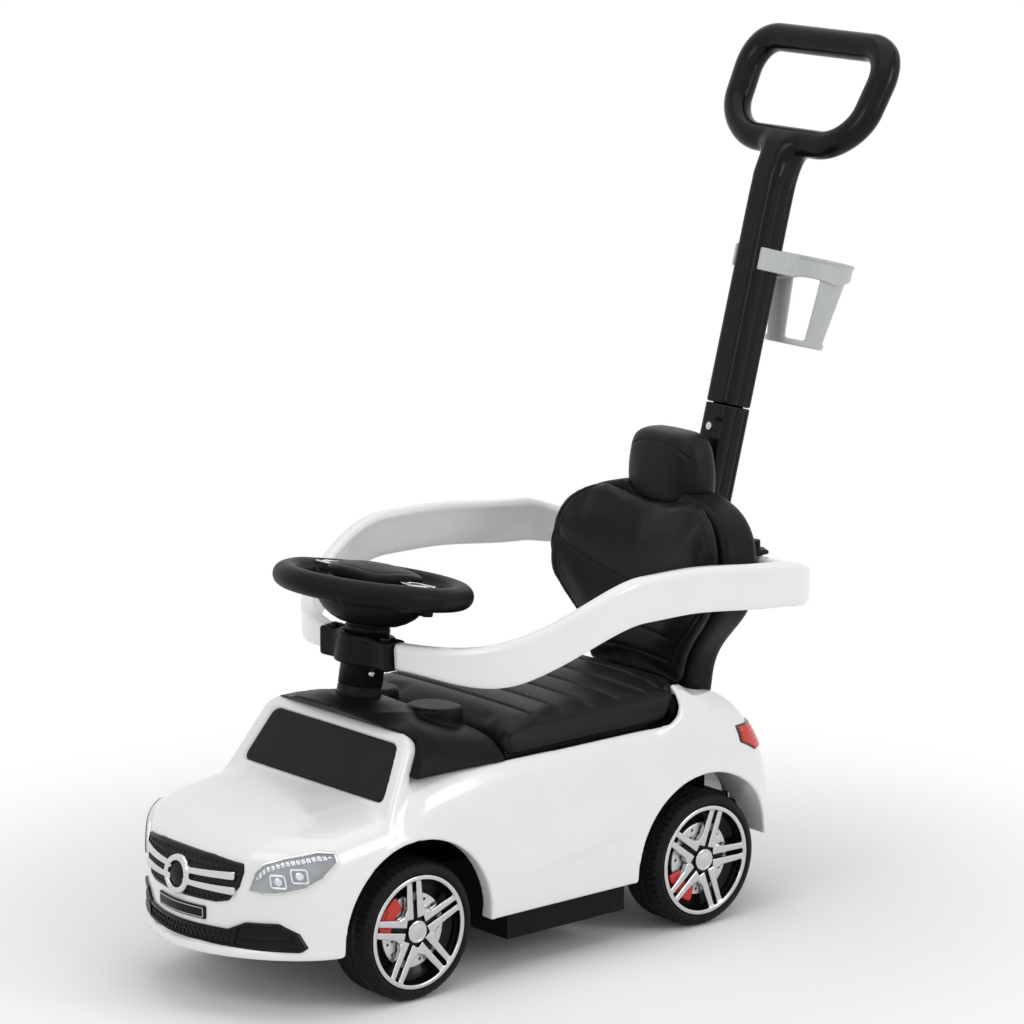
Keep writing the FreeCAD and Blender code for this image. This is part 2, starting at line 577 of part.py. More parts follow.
def make_lamps():
    first = -s.fit_gap, -s.skin_outer
    second = -s.second_skin, -s.second_outer
    for side_name, side in SIDES:
        lamp = V(side * s.headlamp_x, along(s.headlamp_y), s.headlamp_z)
        outline = [(side * u * s.headlamp_width, z * s.headlamp_height) for u, z in HEADLAMP_SHARES]
        formed(f"headlamp_housing_{side_name}", skin(outline, side * 45, lamp, *first))
        scale_u = s.headlamp_width - 2 * s.lens_rim
        scale_z = s.headlamp_height - 2 * s.lens_rim
        outline = [(side * u * scale_u, z * scale_z) for u, z in HEADLAMP_SHARES]
        formed(f"headlamp_lens_{side_name}", skin(outline, side * 45, lamp, *second))
        lamp = V(side * s.tail_lamp_x, along(s.tail_lamp_y), s.tail_lamp_z)
        outline = [(-side * u * s.tail_lamp_width, z * s.tail_lamp_height) for u, z in TAIL_LAMP_SHARES]
        formed(f"tail_lamp_{side_name}", skin(outline, side * 135, lamp, *first))


def make_chassis():
    low = "deck_top_z - deck_height"
    tub_length = "tub_rear_y - tub_front_y"
    solids = [
        wide_block("tub_half", tub_length, "tub_rim_z - tub_floor_z", "axle_mid_y + tub_front_y",
                   "tub_floor_z"),
        wide_block("sill_flange_half", f"{tub_length} - 2 * sill_flange_inset", "sill_flange_height",
                   "axle_mid_y + tub_front_y + sill_flange_inset", "sill_z"),
        wide_block("beam_half", "beam_depth", "beam_height", f"{FRONT_AXLE} - beam_depth / 2",
                   "deck_top_z - beam_height"),
        wide_block("deck_half", "tub_front_y + wheelbase / 2 + nose_deck + plate_step", "deck_height",
                   f"{FRONT_AXLE} - nose_deck", low),
        wide_block("deck_half", "wheelbase / 2 - tub_rear_y + plate_step", "deck_height",
                   "axle_mid_y + tub_rear_y - plate_step", low),
        wide_block("rear_plate_half", "rear_plate_ahead + rear_plate_behind", "deck_height",
                   f"{REAR_AXLE} - rear_plate_ahead", low),
        wide_block("tail_plate_half", "rear_plate_behind - tail_plate_start", "deck_height",
                   f"{REAR_AXLE} + tail_plate_start", low),
        wide_block("tower_half", "tower_rear_y - tower_front_y", "tower_top_z - deck_top_z + plate_step",
                   "axle_mid_y + tower_front_y", "deck_top_z - plate_step"),
    ]
    for _, side in SIDES:
        solids.append(block("carrier_width", "carrier_depth", f"{low} - carrier_foot_z + plate_step",
                            f"{side} * (carrier_x + carrier_width / 2) - carrier_width / 2",
                            f"{REAR_AXLE} - carrier_depth / 2", "carrier_foot_z"))
    lean = "handle_lean_deg * 1 deg"
    hole_half = "(pole_depth / 2 + fit_gap)"
    pole = block("pole_width + 2 * fit_gap", "pole_depth + 2 * fit_gap", "lower_length", "0", "0", "0")
    place(pole, "-pole_width / 2 - fit_gap", f"axle_mid_y + handle_foot_y - {hole_half} * cos({lean})",
          f"handle_foot_z + {hole_half} * sin({lean})", V(-1, 0, 0), "handle_lean_deg")
    tools = [
        wide_block("tub_half - tub_wall", f"{tub_length} - 2 * tub_wall", "tub_rim_z - tub_floor_z",
                   "axle_mid_y + tub_front_y + tub_wall", "tub_floor_z + tub_wall"),
        cross_rod("axle_radius + running_gap", "2 * (carrier_x + carrier_width + cut_over)",
                  "-carrier_x - carrier_width - cut_over", REAR_AXLE, "wheel_axis_z"),
        pole,
        on_column(rod("shaft_radius + slot_gap", "shaft_foot")),
    ]
    shaft_hole = tools[-1]
    tilt = "column_tilt_deg * 1 deg"
    bind(shaft_hole, "Placement.Base.y", f"axle_mid_y + column_y - shaft_foot * sin({tilt})")
    bind(shaft_hole, "Placement.Base.z", f"column_z - shaft_foot * cos({tilt})")
    for _, side in SIDES:
        tools.append(rod("king_pin_radius + running_gap", "beam_height + 2 * cut_over",
                         f"{side} * king_pin_x", FRONT_AXLE, "deck_top_z - beam_height - cut_over"))
        for x, y in (("front_post_x", f"{FRONT_AXLE} - front_post_ahead"),
                     ("rear_post_x", f"{REAR_AXLE} + rear_post_behind")):
            tools.append(rod("screw_radius + running_gap", "deck_height + 2 * cut_over", f"{side} * {x}",
                             y, f"{low} - cut_over"))
    keep("chassis", cut(fuse(solids), tools))


def make_dash():
    over = s.cut_over
    stations = ((s.dash_front_y, s.dash_top_z), (s.column_y, s.dash_top_z), (s.dash_mid_y, s.dash_mid_z),
                (s.dash_low_y, s.dash_low_z), (s.belt_y, s.dash_end_z))

    def moulding(inset):
        wires = []
        for y, top in stations:
            middle, reach = (s.hull_floor_z + top) / 2, (top - s.hull_floor_z) / 2
            share = rounding((s.shoulder_z - middle) / reach, HULL_POWER)
            wires.append(slice_wire(along(y), s.shoulder_half / share - inset, s.hull_floor_z, top - inset))
        return Part.makeLoft(wires, True)

    dash = moulding(0)
    knees = []
    for _, side in SIDES:
        knee = Part.makeCylinder(s.knee_radius, s.knee_top_z - s.knee_foot_z,
                                 V(side * s.knee_x, along(s.knee_y), s.knee_foot_z))
        rim = [edge for edge in knee.Edges if edge.BoundBox.ZMin > s.knee_top_z - s.fit_gap]
        knees.append(knee.makeFillet(s.knee_round, rim))
    width = s.body_half_width + over
    low = plain_box(width, along(s.dash_front_y) - over, along(s.belt_y) + over, 0, s.shoulder_z)
    inner = moulding(s.dash_wall)
    inner = inner.cut(plain_box(width, along(s.belt_y) - s.dash_wall, along(s.belt_y) + over, 0,
                                s.dash_top_z + over))
    behind = Part.makeBox(2 * width, s.dash_top_z, s.dash_top_z,
                          V(-width, -s.dash_top_z / 2, -s.surround_depth - s.fit_gap))
    front = moved(behind, screen_frame)
    rear = plain_box(width, along(s.belt_y) - s.fit_gap, along(s.belt_y) + 2 * s.knee_radius, 0,
                     s.dash_top_z + over)
    column = Part.makeCylinder(s.column_radius + s.fit_gap, s.column_top + s.shaft_foot,
                               V(0, 0, -s.shaft_foot))
    dash = dash.fuse(knees).cut([inner, low, front, rear, moved(column, column_frame)])
    return formed("dash_cover", max(dash.Solids, key=lambda solid: solid.Volume))


def make_seat():
    main = wide_block("lid_half", "lid_main_end_y - belt_y - lid_front_gap", "lid_thickness",
                      "axle_mid_y + belt_y + lid_front_gap", "shoulder_z")
    tongue = wide_block("lid_tongue_half", "lid_tongue_end_y - lid_main_end_y + plate_step",
                        "lid_thickness", "axle_mid_y + lid_main_end_y - plate_step", "shoulder_z")
    keep("seat_lid", fuse([main, tongue]))
    base = s.shoulder_z + s.lid_thickness + s.fit_gap
    front = s.belt_y + s.lid_front_gap
    rear = s.lid_tongue_end_y
    stations = [(front, s.channel_depth), (front + s.channel_pitch / 4, 0)]
    for channel in range(CUSHION_CHANNELS):
        y = s.channel_first_y + channel * s.channel_pitch
        stations += [(y - 2 * s.cushion_seam, s.cushion_seam), (y, s.channel_depth),
                     (y + 2 * s.cushion_seam, s.cushion_seam), (y + s.channel_pitch / 2, 0)]
    stations += [(rear, s.channel_depth)]
    wires = []
    for y, sink in stations:
        share = min(max((y - s.lid_main_end_y + s.cushion_taper) / s.cushion_taper, 0), 1)
        half = s.cushion_half + (s.cushion_tongue_half - s.cushion_half) * share ** 2
        rise = s.cushion_crown_z - sink - base
        points = []
        for step in range(SLICE_POINTS // 2 + 1):
            x = -math.cos(math.pi * step / (SLICE_POINTS // 2))
            points.append(V(x * half, along(y), base + s.cushion_edge_z / 2
                            + (rise - s.cushion_edge_z / 2) * rounding(abs(x), CUSHION_POWER)))
        curve = Part.BSplineCurve()
        curve.interpolate(Points=points)
        low = [V(-half, along(y), base), V(half, along(y), base)]
        edges = [Part.makeLine(low[0], points[0]), curve.toShape(), Part.makeLine(points[-1], low[1]),
                 Part.makeLine(low[1], low[0])]
        wires.append(Part.Wire(edges))
    formed("seat_cushion", Part.makeLoft(wires, True, True))


def share_at(table, share):
    """The second column of a table of shares, read between its rows."""
    for (low, first), (high, last) in zip(table, table[1:]):
        if share <= high:
            return first + (last - first) * (share - low) / (high - low)
    return table[-1][1]


def backrest_front(x):
    """How far the backrest's front face comes forward towards its wings."""
    return -s.backrest_wing * (x / s.backrest_half) ** 2


def backrest_slice(up_share, half_share):
    """A level section of the shell: straight behind, hollow in front."""
    half, depth = s.backrest_half * half_share, s.backrest_depth
    z = -s.backrest_drop + s.backrest_height * up_share
    points = []
    for x, y in slice_points(half, 0, depth, BACKREST_POWER):
        points.append(V(x, y + backrest_front(x) * (1 - y / depth), z))
    return spline_wire(points)


def pad_slice(up_share, thick_share):
    """A level section of the pad, which lies on the shell's hollow front."""
    z = s.pad_foot + (s.backrest_height - s.backrest_drop - s.pad_top_drop - s.pad_foot) * up_share
    up = (z + s.backrest_drop) / s.backrest_height
    half = s.backrest_half * share_at(BACKREST_SHARES, up) - s.pad_inset
    back, front = [], []
    for step in range(SLICE_POINTS // 2 + 1):
        across = -math.cos(math.pi * step / (SLICE_POINTS // 2))
        y = backrest_front(across * half) - s.fit_gap
        crown = s.pad_edge + (s.pad_depth - s.pad_edge) * rounding(abs(across), CUSHION_POWER)
        back.append(V(across * half, y, z))
        front.append(V(across * half, y - crown * thick_share, z))
    edges = []
    for points in (back, front):
        curve = Part.BSplineCurve()
        curve.interpolate(Points=points)
        edges.append(curve.toShape())
    sides = [Part.makeLine(back[end], front[end]) for end in (0, -1)]
    return Part.Wire(Part.__sortEdges__([sides[0], edges[1], sides[1], edges[0]]))


def headrest(grow):
    """The headrest's padded block, grown evenly by a clearance."""
    wires = []
    for up_share, size_share in HEADREST_SHARES:
        half, depth = s.headrest_half * size_share + grow, s.headrest_depth * size_share / 2 + grow
        z = s.headrest_z - grow + (s.headrest_height + 2 * grow) * up_share
        points = [V(x, along(s.headrest_y) + y, z)
                  for x, y in slice_points(half, -depth, depth, HEADREST_POWER)]
        wires.append(spline_wire(points))
    return Part.makeLoft(wires, True)


def pivot_y():
    return along(s.rail_side_end_y + s.rail_corner)


def make_backrest():
    depth, over = s.backrest_depth, s.cut_over
    wires = [backrest_slice(*shares) for shares in BACKREST_SHARES]
    shell = moved(Part.makeLoft(wires, True), backrest_frame)
    rest_y = along(s.headrest_y) + s.headrest_depth / 2 + s.fit_gap
    tongue = plain_box(s.tongue_half, rest_y, rest_y + s.tongue_depth, s.headrest_z, s.tongue_top_z)
    ears = []
    tools = [headrest(s.fit_gap)]
    ear_length = pivot_y() + s.ear_half - along(s.backrest_y) - depth / 2
    for _, side in SIDES:
        x = side * s.pivot_x
        for z in (s.rail_end_z + s.rail_end_height / 2 + 2 * s.fit_gap,
                  s.rail_end_z - s.rail_end_height / 2 - 2 * s.fit_gap - s.ear_height):
            ears.append(Part.makeBox(2 * s.ear_half, ear_length, s.ear_height,
                                     V(x - s.ear_half, along(s.backrest_y) + depth / 2, z)))
        tools.append(Part.makeCylinder(s.pivot_pin_radius + s.running_gap, s.tongue_top_z - s.backrest_z,
                                       V(x, pivot_y(), s.backrest_z)))
    width, deep = s.pole_width / 2 + 2 * s.fit_gap, s.pole_depth / 2 + 2 * s.fit_gap
    tools.append(moved(plain_box(width, -deep, depth + deep, -over, s.upper_top), handle_frame))
    tools.append(plain_box(s.backrest_half, along(0), along(s.tail_y), 0, s.tower_top_z + s.fit_gap))
    shell = shell.fuse([tongue] + ears).cut(tools).removeSplitter()
    formed("backrest_shell", max(shell.Solids, key=lambda solid: solid.Volume))
    pad_wires = [pad_slice(*shares) for shares in PAD_SHARES]
    cushion = moved(Part.makeLoft(pad_wires, True, True), backrest_frame)
    formed("backrest_cushion", cushion.cut(headrest(2 * s.fit_gap)))
    formed("headrest_cushion", headrest(0))


def rail_course():
    """(place, level normal, height) along the left rail's middle line, from the column to its pivot."""
    centre = V(0, along(s.rail_centre_y), 0)
    steps = 7
    for step in range(steps + 1):
        angle = math.radians(s.rail_start_deg + (90 - s.rail_start_deg) * step / steps)
        normal = V(math.sin(angle), -math.cos(angle), 0)
        share = min(1, 2 * step / steps)
        yield (centre + normal * s.rail_radius, normal,
               s.rail_front_height + (s.rail_height - s.rail_front_height) * share)
    side_steps = 4
    for step in range(1, side_steps + 1):
        y = s.rail_centre_y + (s.rail_side_end_y - s.rail_centre_y) * step / side_steps
        yield V(s.rail_radius, along(y), 0), V(1, 0, 0), s.rail_height
    corner = V(s.rail_radius - s.rail_corner, along(s.rail_side_end_y), 0)
    corner_steps = 3
    for step in range(1, corner_steps + 1):
        angle = math.radians(90 * step / corner_steps)
        normal = V(math.cos(angle), math.sin(angle), 0)
        share = step / corner_steps
        yield (corner + normal * s.rail_corner, normal,
               s.rail_height + (s.rail_end_height - s.rail_height) * share)
    yield V(s.pivot_x, pivot_y(), 0), V(0, 1, 0), s.rail_end_height


def rail_level(y):
    """Height of the rail's middle line at a place along the car."""
    rise = min(max((y - s.rail_rise_start_y) / (s.rail_rise_end_y - s.rail_rise_start_y), 0), 1)
    fall = min(max((y - s.rail_fall_y) / (s.rail_side_end_y - s.rail_fall_y), 0), 1)
    drop = min(max((y - s.rail_side_end_y) / s.rail_corner, 0), 1)
    level = s.rail_front_z + (s.rail_top_z - s.rail_front_z) * rise ** 2 * (3 - 2 * rise)
    level += (s.rail_rear_z - s.rail_top_z) * fall ** 2 * (3 - 2 * fall)
    return level + (s.rail_end_z - s.rail_rear_z) * drop ** 2 * (3 - 2 * drop)


def rail_slice(middle, normal, height):
    """A rounded upright section of the rail."""
    points = slice_points(s.rail_thickness / 2, -height / 2, height / 2, HULL_POWER)
    return spline_wire([middle + normal * across + V(0, 0, above) for across, above in points])


def make_rails():
    mirror = FreeCAD.Matrix()
    mirror.A11 = -1
    wires = []
    for place_on, normal, height in rail_course():
        level = V(0, 0, rail_level(place_on.y - s.axle_mid_y))
        wires.append(rail_slice(place_on + level, normal, height))
    low = s.rail_end_z - s.rail_end_height / 2
    eye = Part.makeCylinder(s.pivot_eye_radius, s.rail_end_height, V(s.pivot_x, pivot_y(), low))
    bore = Part.makeCylinder(s.pivot_pin_radius + s.running_gap, s.rail_end_height + 2 * s.cut_over,
                             V(s.pivot_x, pivot_y(), low - s.cut_over))
    rail = Part.makeLoft(wires, True).fuse(eye).cut(bore).removeSplitter()
    formed("rail_left", rail)
    formed("rail_right", rail.transformGeometry(mirror))
    pins = []
    foot = "rail_end_z - rail_end_height / 2 - 2 * fit_gap - ear_height"
    top = "rail_end_z + rail_end_height / 2 + 2 * fit_gap + ear_height"
    pivot = "axle_mid_y + rail_side_end_y + rail_corner"
    for _, side in SIDES:
        pins.append(fuse([rod("pivot_pin_radius", f"{top} - ({foot})", f"{side} * pivot_x", pivot, foot),
                          rod("pin_head_radius", "pin_head_height", f"{side} * pivot_x", pivot, top)]))
    keep("rail_hinge_pins", group(pins))


def latch_place(side):
    angle = math.radians(s.latch_deg)
    return V(side * s.rail_radius * math.sin(angle),
             along(s.rail_centre_y) - s.rail_radius * math.cos(angle), 0)


def make_clamp():
    centre = V(0, along(s.rail_centre_y), s.rail_front_z - s.clamp_height / 2)
    outer, inner = s.rail_radius + s.clamp_depth / 2, s.rail_radius - s.clamp_depth / 2
    sector = Part.makeCylinder(outer, s.clamp_height, centre, V(0, 0, 1), 2 * s.clamp_end_deg)
    sector = sector.cut(Part.makeCylinder(inner, s.clamp_height, centre))
    sector.rotate(centre, V(0, 0, 1), -90 - s.clamp_end_deg)
    collar = moved(Part.makeCylinder(s.collar_radius, s.collar_height, V(0, 0, s.collar_foot)),
                   column_frame)
    column = moved(Part.makeCylinder(s.column_radius + s.fit_gap, s.shaft_foot), column_frame)
    top = s.rail_front_z + s.clamp_height / 2
    tools = [column]
    for side_name, side in SIDES:
        seat = latch_place(side)
        depth = s.latch_height - s.latch_stand + s.latch_travel + s.fit_gap
        tools.append(Part.makeCylinder(s.latch_radius + s.fit_gap, depth + s.cut_over,
                                       V(seat.x, seat.y, top - depth)))
        body = new_body(f"rail_latch_{side_name}")
        sketch = sketch_on(body, "XY_Plane")
        draw_circle(sketch, "latch_radius")
        pad(body, sketch, "latch_height")
        place(body, f"{side} * rail_radius * sin(latch_deg * 1 deg)",
              "axle_mid_y + rail_centre_y - rail_radius * cos(latch_deg * 1 deg)",
              "rail_front_z + clamp_height / 2 + latch_stand - latch_height")
    formed("rail_clamp", sector.fuse(collar).cut(tools).removeSplitter())


def make_column():
    bore = "shaft_radius + running_gap"
    tube = new_body("column_tube")
    turned(tube, [(bore, "-column_sink"), ("column_radius", "-column_sink"), ("column_radius", "column_top"),
                  (bore, "column_top"), (bore, "column_top - column_flange"),
                  ("column_bore", "column_top - column_flange"),
                  ("column_bore", "column_flange - column_sink"), (bore, "column_flange - column_sink")])
    on_column(tube)
    crank_low = "-shaft_foot"
    shaft = fuse([
        rod("shaft_radius", "shaft_foot + shaft_top", z="-shaft_foot"),
        block("crank_width", "crank_radius + crank_width / 2 + crank_end", "crank_height",
              "-crank_width / 2", "-crank_width / 2", crank_low),
        rod("link_pin_radius", "crank_pin_length + crank_height / 2", "0", "crank_radius",
            "-shaft_foot - crank_pin_length"),
    ])
    keep("steering_shaft", on_column(shaft))
    bowl = new_body("steering_hub")
    wall = "bowl_wall"
    turned(bowl, [(bore, "bowl_foot"), ("bowl_neck", "bowl_foot"),
                  ("bowl_waist", "bowl_foot + bowl_step"), ("bowl_radius", "bowl_foot + bowl_height"),
                  (f"bowl_radius - {wall}", "bowl_foot + bowl_height"),
                  (f"bowl_waist - {wall}", f"bowl_foot + bowl_step + {wall}"),
                  (f"bowl_neck - {wall}", f"bowl_foot + {wall}"), (bore, f"bowl_foot + {wall}")])
    on_column(bowl)


def make_steering_wheel():
    disc_low = "bowl_foot + bowl_height"
    disc_top = f"({disc_low} + wheel_disc_height)"
    ring = doc.addObject("Part::Torus", "Ring")
    bind(ring, "Radius1", "wheel_ring_radius")
    bind(ring, "Radius2", "wheel_ring_tube")
    place(ring, z="wheel_ring_z")
    spokes = [wide_block("wheel_ring_radius", "spoke_width", "spoke_height", "-spoke_width / 2",
                         f"{disc_low} + spoke_foot"),
              wide_block("lower_spoke_width / 2", "wheel_ring_radius", "spoke_height", "0",
                         f"{disc_low} + spoke_foot")]
    guide = cut(wide_block("guide_width / 2", "guide_depth", "guide_height", "-guide_depth / 2", disc_top),
                [wide_block("guide_width / 2 - guide_wall", "guide_depth - 2 * guide_wall",
                            "guide_height + cut_over", "-guide_depth / 2 + guide_wall", disc_top)])
    solid = fuse([ring, rod("wheel_disc_radius", "wheel_disc_height", z=disc_low), guide] + spokes)
    bore = rod("shaft_radius + running_gap", "shaft_top + running_gap")
    keep("steering_wheel", on_column(cut(solid, [bore])))
    box = new_body("sound_box")
    sketch = sketch_on(box, "XY_Plane", disc_top)
    draw_polygon(sketch, [(f"{a} * sound_width / 2", f"{b} * sound_depth / 2")
                          for a, b in ((-1, -1), (1, -1), (1, 1), (-1, 1))])
    pad(box, sketch, "sound_height")
    on_column(box)
    horn = new_body("horn_pad")
    sketch = sketch_on(horn, "XY_Plane", f"{disc_top} + horn_lift")
    corners = ((-1, -1), (1, -1), (1, 1), (-1, 1))
    draw_polygon(sketch, [(f"{a} * horn_width / 2", f"{b} * horn_depth / 2") for a, b in corners])
    top = pad(horn, sketch, "horn_height")
    soften(horn, top, "horn_round", upright)
    sketch = sketch_on(horn, "XY_Plane", f"{disc_top} + horn_lift")
    draw_polygon(sketch, [(f"{a} * (guide_width / 2 + fit_gap)", f"{b} * (guide_depth / 2 + fit_gap)")
                          for a, b in corners])
    pocket(horn, sketch, "horn_height - horn_top_wall", reverse=True)
    on_column(horn)
    trims = []
    for side_name, side in SIDES:
        low = f"{disc_low} + spoke_foot + spoke_height"
        plate = block("trim_end - trim_start", "trim_width", "trim_height",
                      f"{side} * (trim_start + trim_end) / 2 - (trim_end - trim_start) / 2",
                      "-trim_width / 2", low)
        hole = rod("music_radius + fit_gap", "trim_height + cut_over", f"{side} * music_x", "0", low)
        trims.append(cut(plate, [hole]))
        button = new_body(f"music_button_{side_name}")
        sketch = sketch_on(button, "XY_Plane", f"{low} + music_lift")
        draw_circle(sketch, "music_radius", f"{side} * music_x")
        pad(button, sketch, "music_height")
        on_column(button)
    keep("spoke_trims", on_column(group(trims)))


def make_front_end():
    pins = []
    top = "deck_top_z - beam_height - knuckle_top_gap"
    for side_name, side in SIDES:
        x = f"{side} * king_pin_x"
        clip = "knuckle_foot_z - king_clip_height - knuckle_top_gap"
        pins.append(fuse([rod("king_pin_radius", "deck_top_z - king_pin_foot_z", x, FRONT_AXLE,
                              "king_pin_foot_z"),
                          rod("king_head_radius", "king_head_height", x, FRONT_AXLE, "deck_top_z"),
                          rod("king_clip_radius", "king_clip_height", x, FRONT_AXLE, clip)]))
        half = "knuckle_width / 2"
        hub_x = "(wheel_face_x - wheel_width + wheel_hub_foot - fit_gap)"
        head_x = "(wheel_face_x - wheel_width + wheel_hub_end + axle_head_gap)"
        start = f"(king_pin_x + {half})"

        def stub(radius, first, last):
            low = f"{first}" if side > 0 else f"-({last})"
            return cross_rod(radius, f"{last} - {first}", low, FRONT_AXLE, "wheel_axis_z")

        solid = fuse([
            block("knuckle_width", "knuckle_width", f"{top} - knuckle_foot_z", f"{x} - {half}",
                  f"{FRONT_AXLE} - {half}", "knuckle_foot_z"),
            stub("spacer_radius", f"({start} - plate_step)", hub_x),
            stub("axle_radius", f"({start} - plate_step)", f"({head_x} + axle_head_height)"),
            stub("axle_head_radius", head_x, f"({head_x} + axle_head_height)"),
            block("arm_width", f"arm_reach - {half} + arm_end + plate_step", "arm_height",
                  f"{x} - arm_width / 2", f"{FRONT_AXLE} + {half} - plate_step", "arm_foot_z"),
            rod("link_pin_radius", "arm_foot_z - arm_pin_foot_z + plate_step", x,
                f"{FRONT_AXLE} + arm_reach", "arm_pin_foot_z"),
        ])
        bore = rod("king_pin_radius + running_gap", "deck_top_z", x, FRONT_AXLE, "0")
        keep(f"knuckle_{side_name}", cut(solid, [bore]))
    keep("king_pins", group(pins))
    arm_y = f"({FRONT_AXLE} + arm_reach)"
    tilt = "column_tilt_deg * 1 deg"
    crank_y = (f"(axle_mid_y + column_y + crank_radius * cos({tilt})"
               f" + (tie_rod_z + tie_rod_height / 2 - column_z + crank_radius * sin({tilt})) * tan({tilt}))")
    bar = fuse([wide_block("tie_rod_half", "tie_rod_depth", "tie_rod_height", f"{arm_y} - tie_rod_depth / 2",
                           "tie_rod_z"),
                wide_block("tie_tab_half", f"{arm_y} - {crank_y} + tie_tab_ahead", "tie_rod_height",
                           f"{crank_y} - tie_tab_ahead", "tie_rod_z")])
    room = "(link_pin_radius + slot_gap)"
    slots = [wide_block(room, f"2 * {room} + crank_slot_room", "tie_rod_height + 2 * cut_over",
                        f"{crank_y} - {room} - crank_slot_room + slot_gap", "tie_rod_z - cut_over")]
    for _, side in SIDES:
        slots.append(block(f"2 * {room}", f"2 * {room} + arm_slot_room", "tie_rod_height + 2 * cut_over",
                           f"{side} * king_pin_x - {room}", f"{arm_y} - {room} - arm_slot_room",
                           "tie_rod_z - cut_over"))
    keep("tie_rod", cut(bar, slots))


def make_rear_axle():
    head_x = "(wheel_face_x - wheel_width + wheel_hub_end + axle_head_gap)"
    end_x = f"({head_x} + axle_head_height)"
    solids = [cross_rod("axle_radius", f"2 * {end_x}", f"-{end_x}", REAR_AXLE, "wheel_axis_z"),
              cross_rod("axle_head_radius", "axle_head_height", head_x, REAR_AXLE, "wheel_axis_z"),
              cross_rod("axle_head_radius", "axle_head_height", f"-{end_x}", REAR_AXLE, "wheel_axis_z")]
    keep("rear_axle", fuse(solids))


def ring_sketch(body, outer, inner, lift):
    sketch = sketch_on(body, "XY_Plane", lift)
    draw_circle(sketch, outer)
    draw_circle(sketch, inner)
    return sketch


def make_tyre(name):
    body = new_body(f"tyre_{name}")
    inner, edge = "rim_radius + running_gap", "tyre_radius - tyre_shoulder"
    turned(body, [(inner, "0"), (edge, "0"), ("tyre_radius", "tyre_shoulder"),
                  ("tyre_radius", "wheel_width - tyre_shoulder"), (edge, "wheel_width"),
                  (inner, "wheel_width")])
    return body


def make_rim(name):
    body = new_body(f"rim_{name}")
    bore, inner, web_top = "axle_radius + running_gap", "rim_radius - rim_wall", "web_z + web_height"
    turned(body, [(bore, "wheel_hub_foot"), ("wheel_hub_radius", "wheel_hub_foot"),
                  ("wheel_hub_radius", "web_z"), (inner, "web_z"), (inner, "rim_lip"),
                  ("rim_radius", "rim_lip"), ("rim_radius", "barrel_end"), (inner, "barrel_end"),
                  (inner, web_top), ("wheel_hub_radius", web_top), ("wheel_hub_radius", "wheel_hub_end"),
                  (bore, "wheel_hub_end")])
    return body


def make_brake_plate(name):
    body = new_body(f"brake_plate_{name}")
    lift = "web_z + web_height"
    pad(body, ring_sketch(body, "disc_radius", "wheel_hub_radius + running_gap", lift), "disc_height")
    sketch = sketch_on(body, "XY_Plane", lift)
    half = "caliper_half_deg * 1 deg"
    draw_polygon(sketch, [(f"caliper_inner * cos({half})", f"-caliper_inner * sin({half})"),
                          (f"caliper_outer * cos({half})", f"-caliper_outer * sin({half})"),
                          ("caliper_outer", "0"),
                          (f"caliper_outer * cos({half})", f"caliper_outer * sin({half})"),
                          (f"caliper_inner * cos({half})", f"caliper_inner * sin({half})")])
    pad(body, sketch, "caliper_height")
    return body


def make_spoke_trim(name):
    body = new_body(f"wheel_trim_{name}")
    pad(body, ring_sketch(body, "rim_radius", "rim_radius - trim_lip", "barrel_end"),
        "wheel_width - barrel_end")
    tip = "(rim_radius - trim_lip + plate_step)"
    bars = []
    for hand in (-1, 1):
        sketch = sketch_on(body, "XY_Plane", "spoke_z")
        draw_polygon(sketch, [("spoke_root", f"{hand} * spoke_slot"), (tip, f"{hand} * spoke_slot"),
                              (tip, f"{hand} * (spoke_slot + spoke_tip_width)"),
                              ("spoke_root", f"{hand} * (spoke_slot + spoke_root_width)")])
        bars.append(pad(body, sketch, "spoke_thick"))
    pattern = body.newObject("PartDesign::PolarPattern", "Spokes")
    pattern.Originals = bars
    pattern.Axis = (sketch, ["N_Axis"])
    pattern.Angle = 360
    pattern.Occurrences = WHEEL_SPOKES
    body.Tip = pattern
    cap = sketch_on(body, "XY_Plane", "spoke_z")
    draw_circle(cap, "cap_radius")
    body.Tip = pad(body, cap, "cap_height")
    return body


def make_wheels():
    for end_name, end in ENDS:
        for side_name, side in SIDES:
            name = f"{end_name}_{side_name}"
            for maker in (make_tyre, make_rim, make_brake_plate, make_spoke_trim):
                place(maker(name), f"{side} * (wheel_face_x - wheel_width)",
                      f"axle_mid_y + {end} * wheelbase / 2", "wheel_axis_z", V(0, side, 0), 90)


def rectangle(width, depth):
    return [(f"{a} * ({width}) / 2", f"{b} * ({depth}) / 2") for a, b in ((-1, -1), (1, -1), (1, 1), (-1, 1))]


def make_handle_lower():
    body = new_body("handle_lower")
    sketch = sketch_on(body, "XY_Plane")
    draw_polygon(sketch, rectangle("pole_width", "pole_depth"))
    pole = soften(body, pad(body, sketch, "lower_length"), "pole_round", upright)
    sketch = sketch_on(body, "XY_Plane", "lower_length")
    draw_polygon(sketch, rectangle("spigot_width", "spigot_depth"))
    pad(body, sketch, "spigot_length")
    sketch = sketch_on(body, "XY_Plane")
    draw_polygon(sketch, rectangle("pole_width - 2 * pole_wall", "pole_depth - 2 * pole_wall"))
    pocket(body, sketch, "lower_length - pole_cap", reverse=True)
    sketch = sketch_on(body, "XZ_Plane")
    draw_circle(sketch, "screw_radius + running_gap", "0")
    bind(sketch, "AttachmentOffset.Base.y", "pole_screw")
    pocket(body, sketch, "pole_depth / 2 + cut_over", reverse=True)
    on_handle(body)


